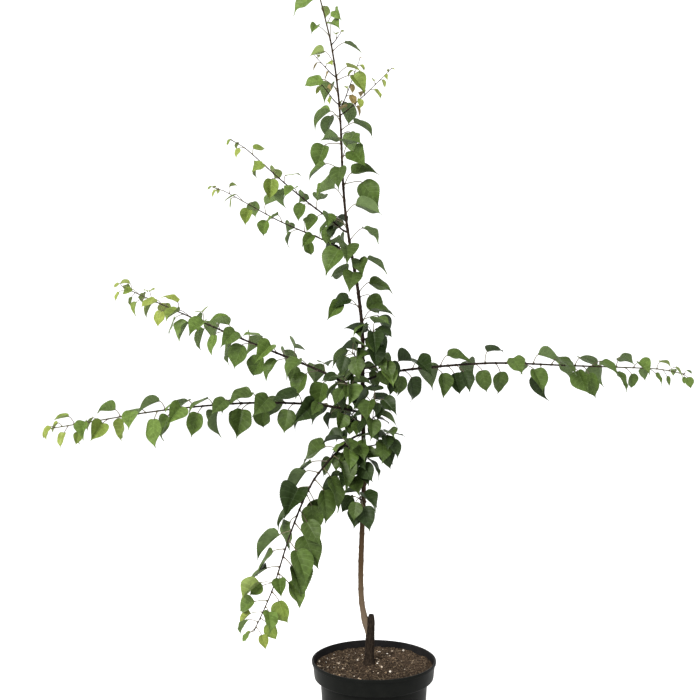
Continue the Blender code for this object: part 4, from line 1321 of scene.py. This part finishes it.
def blade_corners(leaf, rng):
    """Corners of a thin folded blade, the upper face's first and then the lower one's."""
    shares, side, x, y, raised = GRID
    x = x + rng.uniform(*BLADE_SKEW) * np.sin(math.pi * np.clip(x, 0.0, 1.0))
    grown = min(1.0, YOUNG_WIDTH + (1 - YOUNG_WIDTH) * leaf.length / GROWN_LENGTH)
    y = y * grown * rng.uniform(*BLADE_WIDTHS)
    z = raised + leaf.fold * rng.uniform(*BLADE_FOLDS) * np.abs(y) - rng.uniform(*BLADE_BOW) * y ** 2
    wander = 2 * math.pi * (rng.uniform(*BLADE_WAVES) * shares + rng.random())
    y *= 1 + rng.uniform(*BLADE_WANDER) * side * np.sin(wander + np.sign(y))
    z -= leaf.curl * rng.uniform(*BLADE_CURLS) * x ** 2
    z -= rng.uniform(*TIP_BEND) * np.clip(x - TIP_START, 0.0, None) ** 2
    z += rng.uniform(*BLADE_TWIST) * x * y
    waves = 2 * math.pi * rng.uniform(*BLADE_WAVES) * shares
    phase = rng.uniform(0, 2 * math.pi) * (1 + np.sign(y))
    z += rng.uniform(*BLADE_RIPPLE) * side ** 2 * np.sin(waves + phase)
    upper = np.stack([x, y, z], axis=-1) * leaf.length
    lower = upper.copy()
    lower[:, :, 2] -= BLADE_THICK
    half = side.shape[1] // 2
    lower[:, half - 1:half + 1, 2] -= MIDRIB_RISE * leaf.length * (1 - shares)
    depth = np.full((len(shares) - 1, 1, 1), NOTCH)
    depth[[0] + VEIN_ROWS] = 0.0
    local = [upper, lower]
    for face in (upper, lower):
        between = face[:-1] * (1 - NOTCH_PLACE) + face[1:] * NOTCH_PLACE
        rim = between[:, [0, -1]]
        local.append(rim + depth * (between[:, [1, -2]] - rim))
    local = np.concatenate([part.reshape(-1, 3) for part in local])
    turn = np.array([leaf.along, leaf.face.cross(leaf.along), leaf.face])
    return np.array(leaf.base) + local @ turn


def stalk_rows(leaf):
    """A stalk that arches over from its stem and runs on into its blade."""
    reach = (leaf.base - leaf.root).length
    bend = leaf.base - leaf.along * reach * STALK_ARCH
    end = leaf.base + leaf.along * STALK_SUNK * leaf.length
    radius = STALK_THIN + STALK_THIN_SHARE * leaf.length
    rows = []
    for k in range(STALK_RINGS + 1):
        t = k / STALK_RINGS
        point = leaf.root * (1 - t) ** 2 + bend * 2 * t * (1 - t) + end * t * t
        rows.append((*point, radius * (1 + STALK_FLARE * abs(2 * t - 1) ** STALK_FLARE_POWER)))
    return np.array(rows)


def bud_rows(leaf):
    """A small pointed bud in the angle between a stem and a stalk."""
    stalk = (leaf.base - leaf.root).normalized()
    side = (stalk - leaf.stem_along * stalk.dot(leaf.stem_along)).normalized()
    least, more = BUD_SIZES
    size = least + more * min(1.0, leaf.stem_radius / BUD_FULL_STEM)
    start = leaf.root + side * leaf.stem_radius * BUD_OUT + leaf.stem_along * BUD_RADIUS
    heading = (leaf.stem_along * BUD_HEADING[0] + side * BUD_HEADING[1]).normalized()
    rows = []
    for share, wide in BUD_PROFILE:
        rows.append((*(start + heading * BUD_LENGTH * size * share), BUD_RADIUS * size * wide))
    return np.array(rows)


# How many steps from the darkest green the leaves of a mass are, at its foot and at its tip, how late
# they grow paler, and how much they differ; the dark steps in the thick of the tree are partly painted shade
TONE_STEPS = (
    ("shoot_right", 0.2, 3.0, 1.2, 0.50),
    ("shoot_drooping", 0.8, 4.8, 2.2, 0.40),
    ("shoot_left_middle", 1.6, 4.7, 1.0, 0.40),
    ("shoot_left_lower", 0.4, 5.1, 1.7, 0.40),
    ("shoot_upper", 1.8, 5.0, 1.2, 0.50),
    ("leader_spray", 0.9, 4.0, 1.5, 0.65),
    ("leader_tip", 3.6, 4.1, 1.0, 0.30),
    ("", 0.50, 0.70, 1.0, 0.90),
)
BRONZE_SHARE = 0.4
LOOKS_SEED = 77

# The middle colour of each tone, from the thick of the tree to its growing tips; the darkest tones are
# partly the leaves' own deep green and partly painted shade
TONES = {
    # the darkest green, of leaves in the thick of the tree, partly painted shade
    "deep_painted_shade": (0.0180, 0.0300, 0.0085),
    "dark": (0.039, 0.060, 0.015),
    "mid": (0.051, 0.079, 0.019),
    "fresh": (0.076, 0.114, 0.028),
    "pale": (0.102, 0.136, 0.031),
    "young": (0.142, 0.172, 0.040),
    "bronze": (0.146, 0.112, 0.046),
}
UNDERSIDE_PALER = (0.024, 0.027, 0.024)
RIB_PALER = (1.35, 0.012)  # times the middle colour, and added to it
VEIN_PALER = 1.15
FACE_SPAN = (0.82, 1.18)
UNDERSIDE_SPAN = (0.9, 1.1)


def leaf_tone(name, leaf, rng):
    """Dark in the thick of the tree, partly as painted shade, paler step by step outwards, and yellow-green
    or bronze at its tips.
    """
    if name.startswith("top_shoot"):
        return "bronze" if rng.random() < BRONZE_SHARE else "young"
    foot, tip, rise, vary = [steps for start, *steps in TONE_STEPS if name.startswith(start)][0]
    share = int(name[-2:]) / LEADER_SPUR_COUNT if name.startswith("leader_spray") else leaf.share
    step = foot + (tip - foot) * share ** rise + rng.gauss(0.0, vary)
    steps = [tone for tone in TONES if tone != "bronze"]
    return steps[min(len(steps) - 1, max(0, round(step)))]


def tone_materials(tone):
    """The upper face, the veins and the paler underside of the leaves of one tone."""
    middle = np.array(TONES[tone])
    rib = RIB_PALER[0] * middle + RIB_PALER[1]
    face = [share * middle for share in FACE_SPAN]
    under = [share * (middle + UNDERSIDE_PALER) for share in UNDERSIDE_SPAN]
    return [
        leaf_material("leaf_" + tone, *face, rib, *FACE_SHINE),
        mottled("vein_" + tone, rib, VEIN_PALER * rib, *VEIN_FINISH),
        leaf_material("underside_" + tone, *under, rib, *UNDERSIDE_SHINE),
    ]


def make_leaves(masses):
    """The blades by tone, their stalks, and the buds beside these."""
    rng = random.Random(LOOKS_SEED)
    tones = {tone: [] for tone in TONES}
    stalks = Heap()
    buds = Heap()
    for name, _, leaves in masses:
        for leaf in leaves:
            tones[leaf_tone(name, leaf, rng)].append(leaf)
            stalks.add(*tube(stalk_rows(leaf), STALK_SIDES))
            buds.add(*tube(bud_rows(leaf), BUD_SIDES))
    nodes = nodes_of("foliage")
    for tone, leaves in tones.items():
        mats = tone_materials(tone)
        for start in range(0, len(leaves), PIECE_LEAVES):
            heap = Heap()
            for leaf in leaves[start:start + PIECE_LEAVES]:
                heap.add(blade_corners(leaf, rng), BLADE_FACES, BLADE_SLOTS)
            piece = heap.piece("leaves_%s_%d" % (tone, start // PIECE_LEAVES + 1), mats, LEAF_SHARP)
            dress(piece, nodes)
            nodes = ()
    dress(stalks.piece("leaf_stalks", finish("stalk")))
    dress(buds.piece("buds", finish("bud")))


def pot_profiles():
    """The pot's outer and inner wall as radius and height, both from the rim down."""
    lip = POT_RIM_RADIUS
    collar_top = lip - LIP_OVERHANG
    collar_low = collar_top - COLLAR_TAPER
    body_top = collar_low - COLLAR_STEP
    step_height = POT_HEIGHT - COLLAR_HEIGHT
    outer = [
        (lip - LIP_ROUND, POT_HEIGHT),
        (lip, POT_HEIGHT - LIP_ROUND),
        (lip, POT_HEIGHT - LIP_HEIGHT),
        (collar_top, POT_HEIGHT - LIP_HEIGHT),
        (collar_low, step_height),
        (body_top + SHOULDER_OUT, step_height - SHOULDER_MIDDLE),
        (body_top, step_height - SHOULDER_DROP),
        (POT_BASE_RADIUS, FOOT_HEIGHT),
        (POT_BASE_RADIUS - FOOT_BEVEL, 0.0),
    ]
    inner = [
        (collar_top - POT_WALL, POT_HEIGHT),
        (collar_low - POT_WALL, step_height + POT_WALL),
        (body_top - POT_WALL, step_height - INNER_SHOULDER),
        (POT_BASE_RADIUS - POT_WALL, POT_FLOOR + FLOOR_BEVEL),
        (POT_BASE_RADIUS - POT_WALL - FLOOR_BEVEL, POT_FLOOR),
    ]
    return outer, inner


def rounded(points, radius, steps):
    """An outline with each of its inner corners turned into a short curve."""
    corners = [Vector(p) for p in points]
    out = [corners[0]]
    for before, corner, after in zip(corners, corners[1:], corners[2:]):
        cut = min(radius, CORNER_SHARE * (before - corner).length, CORNER_SHARE * (after - corner).length)
        start = corner + (before - corner).normalized() * cut
        end = corner + (after - corner).normalized() * cut
        for k in range(steps + 1):
            t = k / steps
            out.append(start * (1 - t) ** 2 + corner * 2 * t * (1 - t) + end * t * t)
    return [tuple(p) for p in out + [corners[-1]]]


def lathe(profile, segments, lift=None):
    """A closed turned skin, its profile from the top's middle out and down; lift raises corners."""
    corners = []
    for radius, height in profile:
        for i in range(segments):
            x, y = polar(radius, 2 * math.pi * i / segments)
            corners.append((x, y, lift(x, y, height) if lift else height))
    faces = [(a, d, c, b) for a, b, c, d in quads(len(profile), segments)]
    last = (len(profile) - 1) * segments
    ends = [tuple(range(segments)), tuple(range(last + segments - 1, last - 1, -1))]
    return corners, faces + ends


def drill(pot):
    """Cuts the drain holes through the pot's floor."""
    bm = bmesh.new()
    for k in range(DRAIN_HOLES):
        out = Vector((*polar(1.0, 2 * math.pi * (k + 0.5) / DRAIN_HOLES), 0.0))
        bmesh.ops.create_cone(bm, cap_ends=True, segments=DRAIN_SEGMENTS, depth=4 * POT_FLOOR,
                              radius1=DRAIN_RADIUS, radius2=DRAIN_RADIUS,
                              matrix=Matrix.Translation(out * DRAIN_CIRCLE_RADIUS))
    mesh = bpy.data.meshes.new("drain_holes")
    bm.to_mesh(mesh)
    bm.free()
    cutter = add_object("drain_holes", mesh)
    cut = pot.modifiers.new("drain holes", "BOOLEAN")
    cut.operation = "DIFFERENCE"
    cut.object = cutter
    cut.solver = "EXACT"
    graph = bpy.context.evaluated_depsgraph_get()
    graph.update()
    drilled = bpy.data.meshes.new_from_object(pot.evaluated_get(graph))
    pot.modifiers.remove(cut)
    pot.data = drilled
    bpy.data.objects.remove(cutter, do_unlink=True)


def make_pot():
    """The moulded pot with rounded corners, a dusty inner wall and its drain holes."""
    outer, inner = pot_profiles()
    profile = rounded(inner[::-1] + outer, POT_CORNER, POT_CORNER_STEPS)
    corners, faces = lathe(profile, POT_SEGMENTS)
    top = max(range(len(profile)), key=lambda k: profile[k][1])
    inside = POT_SEGMENTS * top
    heap = Heap()
    heap.add(corners, faces, [1] * inside + [0] * (len(faces) - inside))
    plastics = [pot_material(name, *colours) for name, colours in PLASTICS.items()]
    pot = heap.piece("pot_shell", plastics, POT_SHARP)
    drill(pot)
    dress(pot, nodes_of("pot_plastic"))


def soil_height(x, y):
    """The compost's surface: lumpy, a little lower at the wall, and heaped at the stem."""
    share = min(1.0, math.hypot(x, y) / POT_RIM_RADIUS)
    place = Vector((x, y, 0.0))
    height = SOIL_HEIGHT + SOIL_RISE - SOIL_FALL * share ** 2
    for size, rise in SOIL_LUMPS:
        height += rise * (1 - SOIL_CALM * share ** 4) * noise.noise(place / size)
    near = math.hypot(x - STEM_FOOT_X, y)
    return height + SOIL_HEAP * math.exp(-((near / SOIL_HEAP_RADIUS) ** 2))


def spot(wall, draw):
    """A random place on a disk, and its turn round the middle; draw gives a number between two."""
    radius = wall * math.sqrt(draw(0, 1))
    turn = draw(0, 2 * math.pi)
    return *polar(radius, turn), radius, turn


def strew(heap, solid, wall, seed, count, least, most, flatness, lean):
    """Irregular bits strewn over the compost, more small ones than large ones."""
    corners, faces = solid
    draw = np.random.default_rng(seed).uniform
    placed = 0
    while placed < count:
        x, y, radius, turn = spot(wall, draw)
        size = least + (most - least) * draw(0, 1) ** BIT_POWER
        if math.hypot(x - STEM_FOOT_X, y) < STEM_FOOT_RADIUS + size or radius + size > wall:
            continue
        # the paler bits lean to the left partly as painted light on the compost's left
        patch = noise.noise(Vector((x, y, 0.0)) / PATCH_SIZE + UP * seed) - lean * x / wall
        if patch < draw(-PATCHINESS, PATCHINESS):
            continue
        flat = draw(*flatness)
        scale = np.array([size, size * draw(*BIT_WIDTHS), size * flat])
        tilt = (draw(-BIT_TILT, BIT_TILT), draw(-BIT_TILT, BIT_TILT), turn * BIT_SPINS)
        bit = corners * draw(*BIT_CORNERS, (len(corners), 1)) * scale
        place = (x, y, soil_height(x, y) + size * flat * BIT_LIFT)
        heap.add(bit @ np.array(Euler(tilt).to_matrix()).T + place, faces)
        placed += 1


def strand_rows(draw, wall):
    """A thin curved strand lying on the compost."""
    x, y, _, _ = spot(wall - STRAND_EDGE, draw)
    heading = draw(0, 2 * math.pi)
    bend = draw(*STRAND_BENDS)
    step = draw(*STRAND_STEPS) * MM
    rows = []
    for _ in range(STRAND_POINTS):
        rows.append((x, y, soil_height(x, y) + STRAND_LIFT, draw(*STRAND_RADII) * MM))
        dx, dy = polar(step, heading)
        x += dx
        y += dy
        heading += bend
    return np.array(rows)


def icosphere():
    """Corners and faces of the round bit that each crumb is worked out of."""
    bm = bmesh.new()
    bmesh.ops.create_icosphere(bm, subdivisions=1, radius=1.0)
    solid = np.array([tuple(v.co) for v in bm.verts]), [tuple(v.index for v in f.verts) for f in bm.faces]
    bm.free()
    return solid


def make_compost():
    """The filling with its lumpy top, and crumbs, chips, pale grains and strands lying on it."""
    rim, step, body, low, floor = pot_profiles()[1]
    tight = SOIL_TIGHT
    wall = step[0] + (rim[0] - step[0]) * (SOIL_HEIGHT - step[1]) / (rim[1] - step[1]) - tight
    profile = [(wall * k / SOIL_RINGS, SOIL_HEIGHT) for k in range(1, SOIL_RINGS + 1)]
    profile += [(radius - tight, height + tight) for radius, height in (step, body, low)]
    profile.append((floor[0] - tight, floor[1] + GAP))
    heap = Heap()
    heap.add(*lathe(profile, SOIL_SEGMENTS, lambda x, y, z: soil_height(x, y) if z == SOIL_HEIGHT else z))
    # painted shade in front and painted light at the back of the compost bed
    earth = finish("compost", painted_shade_front_light_back)
    dress(heap.piece("compost_bed", earth, SOIL_SHARP), nodes_of("compost"))
    solid = icosphere()
    for k, (name, (count, least, most, flatness, lean, dark, light, gets_painted_shade)) in enumerate(BITS.items()):
        heap = Heap()
        strew(heap, solid, wall - BIT_EDGE, BIT_SEED + k, count, least * MM, most * MM, flatness, lean)
        # bits that take painted shade in front and painted light at the back
        shade = painted_shade_front_light_back if gets_painted_shade else None
        bits = mottled(name, dark, light, *BIT_FINISH, shade)
        dress(heap.piece(name, [bits], BIT_SHARP))
    rng = random.Random(STRAND_SEED)
    heap = Heap()
    for _ in range(STRANDS):
        heap.add(*tube(strand_rows(rng.uniform, wall), STRAND_SIDES))
    # the strands take painted shade in front and painted light at the back
    dress(heap.piece("strands", finish("strand", painted_shade_front_light_back)))


def area_light(name, place, target, size, power, colour):
    data = bpy.data.lights.new(name, "AREA")
    data.shape = "DISK"
    data.size = size
    data.energy = power
    data.color = colour
    obj = add_object(name, data)
    obj.location = place
    obj.rotation_euler = (Vector(target) - Vector(place)).to_track_quat("-Z", "Y").to_euler()


def make_studio():
    """A white floor, a bright even surround, a large soft light from the left, and the camera."""
    bm = bmesh.new()
    bmesh.ops.create_circle(bm, cap_ends=True, segments=FLOOR_SEGMENTS, radius=FLOOR_RADIUS)
    mesh = bpy.data.meshes.new("studio_floor")
    bm.to_mesh(mesh)
    bm.free()
    mesh.materials.append(*finish("floor_paint"))
    add_object("studio_floor", mesh)

    world = bpy.data.worlds.new("studio")
    world.use_nodes = True
    background = world.node_tree.nodes["Background"]
    background.inputs["Color"].default_value = (1.0, 1.0, 1.0, 1.0)
    background.inputs["Strength"].default_value = SURROUND
    scene = bpy.context.scene
    scene.world = world
    scene.view_settings.view_transform = "Standard"
    scene.view_settings.look = "Medium High Contrast"
    for name, light in LIGHTS.items():
        area_light(name, *light)

    data = bpy.data.cameras.new("camera")
    data.sensor_width = SENSOR_WIDTH
    data.lens = SENSOR_WIDTH * CAMERA_FOCAL / PICTURE_WIDTH
    camera = add_object("camera", data)
    camera.location = CAMERA_PLACE
    camera.rotation_euler = (math.pi / 2, 0.0, 0.0)
    scene.camera = camera


def main():
    make_studio()
    leader, boughs, masses = plan_tree()
    refine_leaves(leader, masses)
    make_leader(leader, masses)
    make_limbs(boughs, masses)
    make_leaves(masses)
    make_pot()
    make_compost()


main()
